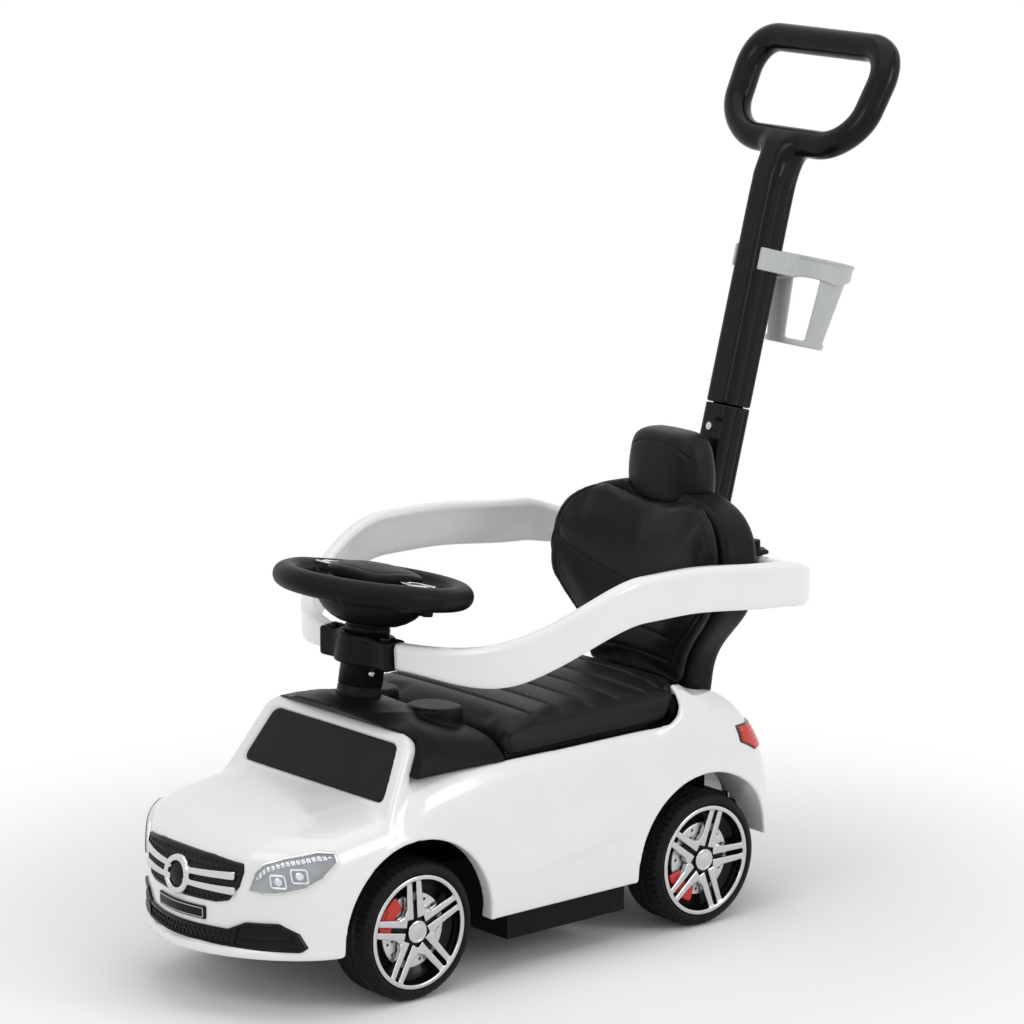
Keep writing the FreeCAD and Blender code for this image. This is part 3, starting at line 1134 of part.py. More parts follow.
def loop_path():
    """The grip's middle line in its own plane: a rounded trapezoid."""
    foot, top = s.loop_foot, s.loop_foot + s.loop_height
    corners = [(V(s.loop_foot_half, 0, foot), s.loop_foot_round),
               (V(s.loop_top_half, 0, top), s.loop_top_round),
               (V(-s.loop_top_half, 0, top), s.loop_top_round),
               (V(-s.loop_foot_half, 0, foot), s.loop_foot_round)]
    bends = []
    for index, (corner, radius) in enumerate(corners):
        before = (corners[index - 1][0] - corner).normalize()
        after = (corners[(index + 1) % len(corners)][0] - corner).normalize()
        half = before.getAngle(after) / 2
        reach = radius / math.tan(half)
        inward = (before + after).normalize()
        bends.append((corner + before * reach,
                      corner + inward * (radius / math.sin(half) - radius), corner + after * reach))
    edges = []
    for index, (first, middle, last) in enumerate(bends):
        edges.append(Part.Arc(first, middle, last).toShape())
        edges.append(Part.makeLine(last, bends[(index + 1) % len(bends)][0]))
    return Part.Wire(edges)


def rounded_bar(width, depth, radius, low, high):
    bar = Part.makeBox(width, depth, high - low, V(-width / 2, -depth / 2, low))
    return bar.makeFillet(radius, [edge for edge in bar.Edges if upright(edge)])


def make_handle_upper():
    low = s.lower_length + s.fit_gap
    bar = rounded_bar(s.pole_width, s.pole_depth, s.pole_round, low, s.upper_top + s.loop_neck)
    gap = 2 * s.fit_gap
    socket = Part.makeBox(s.spigot_width + gap, s.spigot_depth + gap, s.upper_top - low,
                          V(-(s.spigot_width + gap) / 2, -(s.spigot_depth + gap) / 2, low))
    pole = moved(bar.cut(socket), handle_frame)
    root = handle_frame.multVec(V(0, 0, s.upper_top))
    loop_frame = FreeCAD.Placement(root, FreeCAD.Rotation(V(-1, 0, 0), s.loop_lean_deg))
    path = loop_path()
    start = path.Edges[0].firstVertex().Point
    tangent = path.Edges[0].tangentAt(path.Edges[0].FirstParameter)
    section = Part.Wire([Part.makeCircle(s.loop_tube, start, tangent)])
    loop = moved(path.makePipeShell([section], True, True), loop_frame)
    neck = moved(rounded_bar(s.pole_width, s.pole_depth, s.pole_round, -s.loop_neck / 2, s.loop_foot),
                 loop_frame)
    formed("handle_upper", pole.fuse([neck, loop]).removeSplitter())


def make_cup_holder():
    low = "cup_ring_top - cup_ring_height"
    outer = fuse([rod("cup_ring_radius", "cup_ring_height", "0", "cup_offset", low),
                  block("pole_width + 2 * (fit_gap + clip_wall)", "clip_front + clip_rear",
                        "cup_ring_height", "-pole_width / 2 - fit_gap - clip_wall", "-clip_front", low)])
    cup = doc.addObject("Part::Cone", "Cup")
    for prop, expression in (("Radius1", "cup_foot_radius"), ("Radius2", "cup_bore + cup_wall"),
                             ("Height", f"{low} - cup_foot + plate_step")):
        bind(cup, prop, expression)
    place(cup, "0", "cup_offset", "cup_foot")
    inside = doc.addObject("Part::Cone", "Inside")
    for prop, expression in (("Radius1", "cup_foot_radius - cup_wall"), ("Radius2", "cup_bore"),
                             ("Height", f"{low} - cup_foot - cup_wall")):
        bind(inside, prop, expression)
    place(inside, "0", "cup_offset", "cup_foot + cup_wall")
    height = "cup_slot_top - cup_slot_foot"
    reach = "2 * cup_ring_radius"
    tools = [inside, rod("cup_bore", "cup_ring_height + cut_over", "0", "cup_offset", low),
             block(reach, "cup_slot", height, "-cup_ring_radius", "cup_offset - cup_slot / 2",
                   "cup_slot_foot"),
             block("cup_slot", reach, height, "-cup_slot / 2", "cup_offset - cup_ring_radius",
                   "cup_slot_foot"),
             block("pole_width + 2 * fit_gap", "pole_depth + 2 * fit_gap", "cup_ring_height + 2 * cut_over",
                   "-pole_width / 2 - fit_gap", "-pole_depth / 2 - fit_gap", f"{low} - cut_over")]
    keep("cup_holder", on_handle(cut(fuse([outer, cup]), tools)))


def make_screws():
    screws = []
    for _, side in SIDES:
        for x, y in (("front_post_x", f"{FRONT_AXLE} - front_post_ahead"),
                     ("rear_post_x", f"{REAR_AXLE} + rear_post_behind")):
            under = "deck_top_z - deck_height"
            screws.append(fuse([rod("screw_radius", "screw_length - deck_height", f"{side} * {x}", y, under),
                                rod("screw_head_radius", "screw_head_height", f"{side} * {x}", y,
                                    f"{under} - screw_head_height")]))
    pole_screw = fuse([rod("screw_radius", "pole_wall", "0", "0", "0"),
                       rod("screw_head_radius", "screw_head_height", "0", "0", "-screw_head_height")])
    lean = "handle_lean_deg * 1 deg"
    place(pole_screw, "0",
          f"axle_mid_y + handle_foot_y + pole_screw * sin({lean}) - pole_depth / 2 * cos({lean})",
          f"handle_foot_z + pole_screw * cos({lean}) + pole_depth / 2 * sin({lean})", V(-1, 0, 0),
          "(handle_lean_deg + 90)")
    screws.append(pole_screw)
    keep("assembly_screws", group(screws))


def check_and_write():
    doc.recompute()
    faults = [obj.Label for obj in doc.Objects if {"Invalid", "Error"} & set(obj.State)]
    for label, obj in nodes.items():
        if obj.Shape.isNull() or not obj.Shape.isValid() or not obj.Shape.Solids:
            faults.append(label)
    if faults:
        raise SystemExit("faulty sub-parts: " + ", ".join(faults))
    os.makedirs("parts", exist_ok=True)
    for label, obj in nodes.items():
        obj.Shape.exportStep(f"parts/{label}.step")
    print(len(nodes), "sub-parts written")


make_body()
make_windscreen()
make_nose_trim()
make_lamps()
make_chassis()
make_dash()
make_seat()
make_backrest()
make_rails()
make_clamp()
make_column()
make_steering_wheel()
make_front_end()
make_rear_axle()
make_wheels()
make_handle_lower()
make_handle_upper()
make_cup_holder()
make_screws()
check_and_write()
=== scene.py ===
import json
import math
from functools import reduce

import bpy
import numpy as np
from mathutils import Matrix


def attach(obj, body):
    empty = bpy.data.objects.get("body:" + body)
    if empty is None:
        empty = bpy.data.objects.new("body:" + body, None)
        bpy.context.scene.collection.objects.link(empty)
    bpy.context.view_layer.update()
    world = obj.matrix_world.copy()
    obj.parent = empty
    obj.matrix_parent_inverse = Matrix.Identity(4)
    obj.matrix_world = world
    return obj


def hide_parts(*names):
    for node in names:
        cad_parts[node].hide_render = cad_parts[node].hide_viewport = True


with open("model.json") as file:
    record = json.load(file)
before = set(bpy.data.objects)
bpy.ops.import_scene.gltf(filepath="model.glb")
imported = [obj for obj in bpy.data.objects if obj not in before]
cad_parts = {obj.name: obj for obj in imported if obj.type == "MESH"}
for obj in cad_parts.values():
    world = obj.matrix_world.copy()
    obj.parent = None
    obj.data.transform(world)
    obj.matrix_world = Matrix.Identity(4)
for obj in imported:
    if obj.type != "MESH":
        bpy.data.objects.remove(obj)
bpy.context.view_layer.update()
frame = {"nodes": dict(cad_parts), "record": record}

import openvdb
from mathutils import Vector
from mathutils.bvhtree import BVHTree

# Push car with a handle. Lengths are millimetres, counted along Y from the middle between the axles.
AXLE_MID_Y = -60.94
VIEW_AZIMUTH, VIEW_ELEVATION = 49.57, 12.17
VIEW_TARGET = (0.0, 46.46, 428.13)
VIEW_DISTANCE, VIEW_LENS = 4580.4, 160.7
SIDES = (("left", 1), ("right", -1))
ENDS = (("front", -188.0), ("rear", 188.0))
AXLE_Z, WHEEL_INNER_X = 69, 84
SCREEN_FOOT = (-212.7, 197)
HINGE = (96, 290, 350)


def place(points):
    """From the car's millimetres to the part's metres."""
    moved = np.array(points, dtype=float).reshape(-1, 3)
    moved[:, 1] += AXLE_MID_Y
    return moved / 1000


class Frame:
    """A frame that leans back from upright by an angle about X."""
    flip = False

    def __init__(self, origin, lean_deg=0):
        self.origin = origin
        self.sin, self.cos = math.sin(math.radians(lean_deg)), math.cos(math.radians(lean_deg))

    def out(self, points):
        p = np.array(points, dtype=float).reshape(-1, 3)
        ox, oy, oz = self.origin
        return np.stack([p[:, 0] + ox, oy + p[:, 1] * self.cos + p[:, 2] * self.sin,
                         oz - p[:, 1] * self.sin + p[:, 2] * self.cos], axis=1)

    def local(self, x, y, z):
        ox, oy, oz = self.origin
        dy, dz = y - oy, z - oz
        return x - ox, dy * self.cos - dz * self.sin, dy * self.sin + dz * self.cos


class Skin:
    """The body's outer form seen along a level direction: across, inward and up."""
    flip = False

    def __init__(self, middle_y, yaw_deg):
        self.middle_y = middle_y
        self.sin, self.cos = math.sin(math.radians(yaw_deg)), math.cos(math.radians(yaw_deg))

    def spots(self, across, inward):
        return (across * self.cos - inward * self.sin,
                self.middle_y + across * self.sin + inward * self.cos)

    def out(self, points):
        x, y = self.spots(points[:, 0], points[:, 1])
        return np.stack([x, y, points[:, 2]], axis=1)

    def depth(self, across, inward, up):
        """Distance outside the body, from the place where each level ray meets it."""
        flat_u, flat_z = np.broadcast_arrays(across[:, 0, :], up[:, 0, :])
        low, high = np.full(flat_u.shape, -150.0), np.zeros(flat_u.shape)
        for _ in range(26):
            middle = (low + high) / 2
            outside = hull_raw(*self.spots(flat_u, middle), flat_z) > 0
            low, high = np.where(outside, middle, low), np.where(outside, high, middle)
        slopes = np.gradient(high, across.ravel(), up.ravel())
        level = 1 / np.sqrt(1 + np.minimum(slopes[0] ** 2 + slopes[1] ** 2, 9))
        return (high[:, None, :] - inward) * level[:, None, :]


class WheelFrame:
    """A wheel's own frame: rearward, up and outward from its inner face."""

    def __init__(self, side, axle):
        self.side, self.axle, self.flip = side, axle, side < 0

    def out(self, points):
        p = np.asarray(points, dtype=float)
        out_x = self.side * (WHEEL_INNER_X + p[:, 2])
        return np.stack([out_x, self.axle + p[:, 0], AXLE_Z + p[:, 1]], axis=1)


class Spot:
    """A small piece's own frame: its Z looks along an outward direction."""
    flip = False

    def __init__(self, spot, outward):
        self.turn = Vector(outward).to_track_quat("Z", "Y").to_matrix()
        self.spot = np.array(spot, dtype=float)

    def out(self, points):
        return np.asarray(points, dtype=float) @ np.array(self.turn).T + self.spot


CAR = Frame((0, 0, 0))
COLUMN = Frame((0, -153, 264), 10.3)
SCREEN = Frame((0, *SCREEN_FOOT), -58.8)
HANDLE_LEAN, POLE_X, POLE_Y, COLUMN_RADIUS = 15.1, 18, 19.5, 22
HANDLE = Frame((0, 237.5, 114.5), HANDLE_LEAN)
BACKREST = Frame((0, 224, 228), 5)


# Materials
def feed(tree, node, inputs):
    """Sets a node's inputs to values, or links them to other nodes' outputs."""
    for key, value in inputs.items():
        if isinstance(value, bpy.types.NodeSocket):
            tree.links.new(value, node.inputs[key])
        else:
            node.inputs[key].default_value = value


def add_node(tree, kind, inputs=None, **settings):
    node = tree.nodes.new(f"ShaderNode{kind}")
    for key, value in settings.items():
        setattr(node, key, value)
    feed(tree, node, inputs or {})
    return node


def shade(name, color, rough, grain, metal=0.0, coat=0.0, vary=0.06, vary_scale=25.0, rough_vary=0.06,
          transmission=0.0, sheen=0.0, specular=0.5):
    """A moulded or sewn surface: colour and roughness drift, and a fine grain stands in the bump."""
    mat = bpy.data.materials.new(name)
    mat.use_nodes = True
    tree = mat.node_tree
    spot = add_node(tree, "TexCoord").outputs["Object"]
    drift = add_node(tree, "TexNoise", {"Scale": vary_scale, "Detail": 4, "Vector": spot}).outputs["Fac"]
    ramp = add_node(tree, "ValToRGB", {"Fac": drift})
    for element, position, factor in zip(ramp.color_ramp.elements, (0.3, 0.7), (1 - vary, 1 + vary)):
        element.position = position
        element.color = (*[min(c * factor, 1) for c in color], 1)
    spread = add_node(tree, "MapRange", {"To Min": max(rough - rough_vary, 0.02),
                                         "To Max": rough + rough_vary, "Value": drift})
    kind, scale, strength = grain
    if kind == "cells":
        cells = add_node(tree, "TexVoronoi", {"Scale": scale, "Vector": spot}, feature="DISTANCE_TO_EDGE")
        height = cells.outputs["Distance"]
    else:
        height = add_node(tree, "TexNoise", {"Scale": scale, "Detail": 3, "Vector": spot}).outputs["Fac"]
    bump = add_node(tree, "Bump", {"Strength": strength, "Distance": 0.0004, "Height": height})
    feed(tree, tree.nodes["Principled BSDF"], {
        "Base Color": ramp.outputs["Color"], "Roughness": spread.outputs["Result"], "Metallic": metal,
        "Coat Weight": coat, "Coat Roughness": 0.06, "Transmission Weight": transmission,
        "Sheen Weight": sheen, "Specular IOR Level": specular, "Normal": bump.outputs["Normal"]})
    return mat


LOOKS = {
    "white_gloss": dict(color=(0.83, 0.84, 0.845), rough=0.2, grain=("noise", 260, 0.03), coat=0.3,
                        vary=0.012, rough_vary=0.04),
    "light_grey": dict(color=(0.46, 0.475, 0.48), rough=0.3, grain=("noise", 900, 0.06), vary=0.02),
    "black_gloss": dict(color=(0.005, 0.005, 0.0053), rough=0.2, grain=("noise", 300, 0.03), vary=0.15,
                        specular=0.15),
    "black_matte": dict(color=(0.0062, 0.0062, 0.0065), rough=0.42, grain=("noise", 1500, 0.22), vary=0.15,
                        specular=0.1),
    "tyre_black": dict(color=(0.0075, 0.0075, 0.0078), rough=0.5, grain=("noise", 1200, 0.2), vary=0.2,
                       vary_scale=60, specular=0.11),
    "plated_silver": dict(color=(0.60, 0.605, 0.615), rough=0.13, grain=("noise", 200, 0.02), metal=1.0,
                          vary=0.04, rough_vary=0.04),
    "clear_lens": dict(color=(0.97, 0.98, 0.985), rough=0.04, grain=("noise", 300, 0.03), vary=0.01,
                       rough_vary=0.02, transmission=1.0),
    "red_lens": dict(color=(0.6, 0.028, 0.014), rough=0.16, grain=("cells", 420, 0.25), coat=0.2,
                     vary=0.16, vary_scale=90),
    "black_leather": dict(color=(0.0065, 0.0064, 0.0066), rough=0.38, grain=("cells", 900, 0.42), vary=0.18,
                          vary_scale=14, sheen=0.01, specular=0.14),
    "steel": dict(color=(0.56, 0.565, 0.575), rough=0.27, grain=("noise", 700, 0.08), metal=1.0, vary=0.08,
                  vary_scale=120),
    "disc_silver": dict(color=(0.62, 0.63, 0.64), rough=0.3, grain=("noise", 900, 0.1), metal=0.75,
                        vary=0.05, vary_scale=150),
    "caliper_red": dict(color=(0.55, 0.016, 0.008), rough=0.34, grain=("noise", 600, 0.06), coat=0.1,
                        vary=0.08),
    "dark_mesh": dict(color=(0.0075, 0.0075, 0.008), rough=0.36, grain=("noise", 900, 0.1), vary=0.15,
                      specular=0.2),
    "thread": dict(color=(0.022, 0.022, 0.023), rough=0.6, grain=("noise", 3000, 0.4), vary=0.2,
                   vary_scale=400, sheen=0.1),
    "dark_lens": dict(color=(0.028, 0.004, 0.004), rough=0.14, grain=("noise", 300, 0.04), coat=0.4,
                      vary=0.15),
    "bright_lamp": dict(color=(0.74, 0.75, 0.76), rough=0.08, grain=("cells", 260, 0.12), metal=1.0,
                        vary=0.05, vary_scale=80, rough_vary=0.05),
    "lamp_floor": dict(color=(0.32, 0.325, 0.335), rough=0.2, grain=("cells", 300, 0.2), metal=0.9,
                       vary=0.2, vary_scale=60),
    "plate_edge": dict(color=(0.46, 0.47, 0.48), rough=0.3, grain=("noise", 900, 0.06), vary=0.05),
}
MATS = {name: shade(name, **look) for name, look in LOOKS.items()}
for row in frame["record"]["subparts"]:
    node = frame["nodes"][row["node"]]
    node.data.materials.clear()
    node.data.materials.append(MATS[row["material_slot"]])


# Pieces
def linked(name, data):
    obj = bpy.data.objects.new(name, data)
    bpy.context.scene.collection.objects.link(obj)
    return obj


def dressed(obj, mat, body, replaced=()):
    """Gives a piece its material and body, and hides the solids it stands for."""
    mesh = obj.data
    mesh.materials.clear()
    mesh.materials.append(MATS[mat])
    mesh.polygons.foreach_set("use_smooth", np.ones(len(mesh.polygons), dtype=bool))
    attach(obj, body)
    if replaced:
        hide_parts(*replaced)
    return obj


def quad_mesh(name, points, quads):
    """A mesh of quads from arrays of car points and corner numbers."""
    mesh = bpy.data.meshes.new(name)
    spots = place(points)
    mesh.vertices.add(len(spots))
    mesh.vertices.foreach_set("co", spots.astype(np.float32).ravel())
    quads = np.asarray(quads, dtype=np.int32).reshape(-1, 4)
    mesh.loops.add(quads.size)
    mesh.loops.foreach_set("vertex_index", quads.ravel())
    mesh.polygons.add(len(quads))
    mesh.polygons.foreach_set("loop_start", np.arange(len(quads), dtype=np.int32) * 4)
    mesh.update(calc_edges=True)
    mesh.validate()
    return mesh


def relaxed(points, quads, rounds):
    """Evens out a mesh: each point moves half way to the middle of its neighbours."""
    starts, ends = quads.ravel(), np.roll(quads, -1, axis=1).ravel()
    starts, ends = np.concatenate([starts, ends]), np.concatenate([ends, starts])
    counts = np.maximum(np.bincount(starts, minlength=len(points)), 1)
    for _ in range(rounds):
        middles = [np.bincount(starts, points[ends, axis], len(points)) / counts for axis in range(3)]
        points = (points + np.stack(middles, axis=1)) / 2
    return points


def grid_mesh(low, high, step, distance, local=CAR, name="solid", rounds=0):
    """The surface where a distance field is zero, in a local frame."""
    low = np.array(low, dtype=float) - 2 * step
    counts = np.ceil((np.array(high, dtype=float) + 2 * step - low) / step).astype(int) + 1
    axes = [low[i] + step * np.arange(counts[i]) for i in range(3)]
    x, y, z = (a.astype(np.float32).reshape([-1 if i == j else 1 for j in range(3)])
               for i, a in enumerate(axes))
    field = np.broadcast_to(distance(x, y, z), counts).astype(np.float32)
    grid = openvdb.FloatGrid(4 * step)
    grid.copyFromArray(np.ascontiguousarray(np.clip(field, -4 * step, 4 * step)))
    points, quads = grid.convertToQuads()
    points, quads = np.asarray(points, dtype=float), np.asarray(quads, dtype=np.int64)
    points = relaxed(points, quads, rounds) * step + low
    return quad_mesh(name, local.out(points), quads[:, ::-1] if local.flip else quads)


def solid(name, low, high, step, distance, mat, body="car", replaced=(), local=CAR, rounds=0):
    mesh = grid_mesh(low, high, step, distance, local, name, rounds)
    return dressed(linked(name, mesh), mat, body, replaced)


def smin(a, b, k):
    h = np.clip(0.5 + 0.5 * (b - a) / k, 0, 1)
    return b + (a - b) * h - k * h * (1 - h)


def smax(a, b, k):
    return -smin(-a, -b, k)


def ease(t):
    t = np.clip(t, 0, 1)
    return t * t * (3 - 2 * t)


def bell(t, width):
    return np.exp(-(t / width) ** 2)


def rounded(u, v, power):
    """1 on a squarish oval whose half sizes are 1; a higher power is squarer."""
    return (abs(u) ** power + abs(v) ** power) ** (1 / power)


def slab(x, low, high):
    return np.maximum(low - x, x - high)


def union(*fields):
    return reduce(np.minimum, fields)


def overlap(*fields):
    return reduce(np.maximum, fields)


def joined(r, *parts):
    """Where several slabs overlap, with edges rounded by r."""
    grown = [np.maximum(p + r, 0) for p in parts]
    inner = overlap(*[p + r for p in parts])
    return np.sqrt(sum(g * g for g in grown)) + np.minimum(inner, 0) - r


def polygon(u, v, points):
    """Signed distance to a closed outline."""
    u, v = np.broadcast_arrays(u, v)
    best = np.full(u.shape, 1e12, dtype=np.float32)
    inside = np.zeros(u.shape, dtype=bool)
    for (ax, ay), (bx, by) in zip(points, points[1:] + points[:1]):
        ex, ey = bx - ax, by - ay
        wx, wy = u - ax, v - ay
        t = np.clip((wx * ex + wy * ey) / (ex * ex + ey * ey), 0, 1)
        best = np.minimum(best, (wx - ex * t) ** 2 + (wy - ey * t) ** 2)
        if ay != by:
            inside ^= ((ay <= v) != (by <= v)) & (u < ex * (v - ay) / (by - ay) + ax)
    reach = np.sqrt(best)
    return np.where(inside, -reach, reach)


def mirrored(points):
    return points + [(-u, v) for u, v in reversed(points)]


def curve_at(x, table):
    """A smooth line through a table of places, with no overshoot."""
    xs, ys = np.array(table, dtype=float).T
    steps = np.diff(ys) / np.diff(xs)
    slopes = np.zeros(len(xs))
    both = steps[:-1] * steps[1:] > 0
    slopes[1:-1][both] = 2 / (1 / steps[:-1][both] + 1 / steps[1:][both])
    slopes[0], slopes[-1] = steps[0], steps[-1]
    at = np.clip(x, xs[0], xs[-1])
    i = np.clip(np.searchsorted(xs, at) - 1, 0, len(xs) - 2)
    h = xs[i + 1] - xs[i]
    t = (at - xs[i]) / h
    return (ys[i] * (1 + 2 * t) * (1 - t) ** 2 + slopes[i] * h * t * (1 - t) ** 2
            + ys[i + 1] * t * t * (3 - 2 * t) + slopes[i + 1] * h * t * t * (t - 1))


def loft(rings, caps=True):
    """Points and quads of a skin through rings with equal counts; caps shrink to a middle point."""
    rings = [np.asarray(r, dtype=float) for r in rings]
    if caps:
        for end in (0, -1):
            middle = rings[end].mean(axis=0)
            near = middle + (rings[end] - middle) * 0.93
            point = middle + (rings[end] - middle) * 0.01
            rings = [point, near] + rings if end == 0 else rings + [near, point]
    n = len(rings[0])
    quads = []
    for i in range(len(rings) - 1):
        for a in range(n):
            b = (a + 1) % n
            quads.append((i * n + a, i * n + b, (i + 1) * n + b, (i + 1) * n + a))
    return np.concatenate(rings), np.array(quads)


def lathe(profile, segments=96):
    """A turned form about local Z from (radius, height) pairs; radius may be a function of the angle."""
    rings = []
    angle = 2 * np.pi * np.arange(segments) / segments
    for radius, height in profile:
        rad = radius(angle) if callable(radius) else np.full(segments, float(radius))
        rings.append(np.stack([rad * np.cos(angle), rad * np.sin(angle),
                               np.full(segments, float(height))], axis=1))
    points, quads = loft(rings, caps=False)
    return points, quads[:, ::-1]


def turned(name, profile, local, mat, body, replaced=(), segments=96, shift=(0, 0, 0)):
    points, quads = lathe(profile, segments)
    mesh = quad_mesh(name, local.out(points + np.array(shift)), quads[:, ::-1] if local.flip else quads)
    return dressed(linked(name, mesh), mat, body, replaced)


# The body's form
NOSE_Y, TAIL_Y, ROUND = -372.4, 334.0, 92.0
NOSE_MID_Y, TAIL_MID_Y = NOSE_Y + ROUND, TAIL_Y - ROUND
NOSE_Z, TAIL_Z, BODY_FOOT, BODY_HALF, SILL_Z = 105, 70, 20, 140, 218
BODY_WALL, ARCH_RADIUS, ARCH_LIP, EDGE_FRONT_Z, EDGE_REAR_Z = 5, 91, 5, 62, 77
DECK = ((NOSE_MID_Y, 186), SCREEN_FOOT, (-172, 224), (-71, 240), (118, 246), (156, 264), (200, 242),
        (TAIL_MID_Y, 230))


def shrink(share, power):
    return np.maximum(1 - np.clip(share, 0, 1) ** power, 1e-4) ** (1 / power)


def hull_sections(y):
    nose = 1 - (y - NOSE_Y) / ROUND
    tail = 1 - (TAIL_Y - y) / ROUND
    half = BODY_HALF * shrink(nose, 1.7) * shrink(tail, 2.0)
    top = curve_at(y, DECK)
    front_top = NOSE_Z + (DECK[0][1] - NOSE_Z) * shrink(nose, 3) - 15 * nose * (1 - nose)
    rear_top = TAIL_Z + (DECK[-1][1] - TAIL_Z) * shrink(tail, 1.15)
    top = np.where(nose > 0, front_top, np.where(tail > 0, rear_top, top))
    bottom = np.where(nose > 0, NOSE_Z - (NOSE_Z - BODY_FOOT) * shrink(nose, 3), float(BODY_FOOT))
    bottom = np.where(tail > 0, TAIL_Z - (TAIL_Z - BODY_FOOT) * shrink(tail, 2.4), bottom)
    return half, bottom, top


def hull_raw(x, y, z):
    """Below zero inside the body's outer form."""
    half, bottom, top = hull_sections(y)
    middle, reach = (bottom + top) / 2, np.maximum((top - bottom) / 2, 1)
    raw = rounded(x / half, (z - middle) / reach, 5) - 1
    return np.maximum(raw, slab(y, NOSE_Y, TAIL_Y) / 50)


def hull(x, y, z):
    """About the distance from the body's outer form."""
    raw = hull_raw(x, y, z).astype(np.float32)
    slopes = np.gradient(raw, x.ravel(), y.ravel(), z.ravel())
    steep = np.sqrt(sum(g * g for g in slopes))
    d = np.clip(raw / np.maximum(steep, 1e-4), -60, 60)
    return np.maximum(d, slab(y, NOSE_Y + 0.3, TAIL_Y - 0.3)) - relief(x, y, z)


def relief(x, y, z):
    """Soft creases: the hood's raised middle and the line along the door."""
    across = abs(x)
    edge = 70 + 22 * (y + 372) / 157
    hood = ease((edge - across) / 14) * ease((z - 160) / 20)
    hood = hood * ease((y + 352) / 60) * ease((-165 - y) / 30)
    line = 88 + 0.13 * (y + 100)
    door = 1.8 * ease((z - line) / 12) * ease((line + 60 - z) / 44)
    door = door * ease((y + 96) / 40) * ease((100 - y) / 40) * ease((across - 118) / 10)
    return hood + door


SCREEN_HALF, SCREEN_HEIGHT, SCREEN_TAPER = 111.2, 59.6, 14.4


def screen_side(u, v, grow):
    """Distance past the windscreen's slanting sides, moved out by some growth."""
    slant = math.cos(math.atan(SCREEN_TAPER / SCREEN_HEIGHT))
    return (abs(u) - SCREEN_HALF + SCREEN_TAPER / SCREEN_HEIGHT * v - grow) * slant


def screen_frame_field(x, y, z):
    u, v, w = SCREEN.local(x, y, z)
    outer = joined(17, screen_side(u, v, 15.5), v - 72, -v - 34)
    bar = joined(5, outer, slab(w, -17, 0))
    inner = joined(8, screen_side(u, v, 0), v - SCREEN_HEIGHT, -v - 30)
    bar = smax(bar, -np.maximum(inner, w + 8), 1)
    pocket = joined(8, screen_side(u, v, 0.4), v - SCREEN_HEIGHT - 0.4, -v - 0.4)
    return bar, np.maximum(pocket, -4 - w)


BACK_HALF = ((-68, 56), (-30, 60), (-3, 70), (27, 74), (46, 83), (71, 105), (95, 123), (122, 128), (147, 126),
             (171, 115), (190, 90), (201, 54))


def haunch_front(z):
    """Where the sides rise again behind the seat."""
    return 132 + np.sqrt(np.maximum(26 ** 2 - np.clip(244 - z, 0, 26) ** 2, 0))


def tongue_half(y):
    """Half the width of the seat's opening between the haunches."""
    return 112 - 27 * ease((y - 160) / 44)


def body_field(x, y, z):
    across = abs(x)
    saddle = joined(14, across - 88, slab(y, 190, 290), 230 - z)
    d = smax(hull(x, y, z), -saddle, 8)
    shell = np.maximum(d, -d - BODY_WALL)
    radius = {}
    for _, axle in ENDS:
        radius[axle] = np.hypot(y - axle, z - AXLE_Z)
        inward = 17 if axle < 0 else 58
        lip = overlap(slab(radius[axle], ARCH_RADIUS, ARCH_RADIUS + ARCH_LIP), d, -d - inward)
        shell = smin(shell, lip, 2)
    plan = across - 138 * shrink((NOSE_MID_Y - y) / 100, 1.7)
    chin = joined(2.5, np.maximum(plan * 0.8, NOSE_Y - 8 - y), slab(z, 60, 72), slab(y, -390, -200))
    chin = np.maximum(chin, -d - 8)
    shell = smin(shell, chin, 3)
    above = overlap(SILL_Z - z, -204 - y, y - haunch_front(z))
    shell = smax(shell, -above, 2.5)
    frame_bar, pocket = screen_frame_field(x, y, z)
    frame_bar = np.maximum(frame_bar, -d - 14)
    shell = smin(shell, frame_bar, 7)
    shell = smax(shell, -pocket, 1)
    for axle in radius:
        shell = smax(shell, np.where(across > 60, ARCH_RADIUS - radius[axle], -50.0), 2.5)
    shell = smax(shell, np.where(y < ENDS[1][1], EDGE_FRONT_Z - z, EDGE_REAR_Z - z), 2)
    seat = overlap(across - tongue_half(y), slab(y, 100, 204.5), 200 - z)
    shell_half = curve_at(z - BACKREST.origin[2], BACK_HALF)
    neck = np.maximum(joined(10, across - shell_half - 2.5, slab(y, 219, 269)), 108 - z)
    pole_back = 287.4 + 0.27 * (z - 215)
    pole = np.maximum(joined(5, across - POLE_X - 2.8, slab(y, 219, pole_back)), 108 - z)
    return smax(shell, -union(seat, neck, pole), 2)


solid("body", (-142, -382, 58), (142, 336, 276), 2.0, body_field, "white_gloss", "car", ["body_shell"],
      rounds=3)


def glass_field(x, y, z):
    outline = joined(9, screen_side(x, y, -0.6), y - SCREEN_HEIGHT + 0.4, -y - 0.2)
    crown = 0.9 * (1 - (x / 112) ** 2)
    return joined(1, outline, slab(z, -4.6, -2.2 + crown))


solid("windscreen", (-113, -2, -6), (113, 61, 1), 0.9, glass_field, "black_gloss", "car",
      ["windscreen_panel"], SCREEN)


# Nose and tail trim
NOSE = Skin(NOSE_MID_Y, 0)
BOSS_Z, PLATE_Z = 133, 101


def honeycomb(u, v, pitch):
    """Distance from the walls of a hexagon mesh."""
    row = pitch * 0.866
    cells = []
    for shift_u, shift_v in ((0, 0), (pitch / 2, row)):
        a = abs((u + shift_u + pitch / 2) % pitch - pitch / 2)
        b = abs((v + shift_v + row) % (2 * row) - row)
        cells.append(np.maximum(a, a * 0.5 + b * 0.866))
    return pitch / 2 - union(*cells)


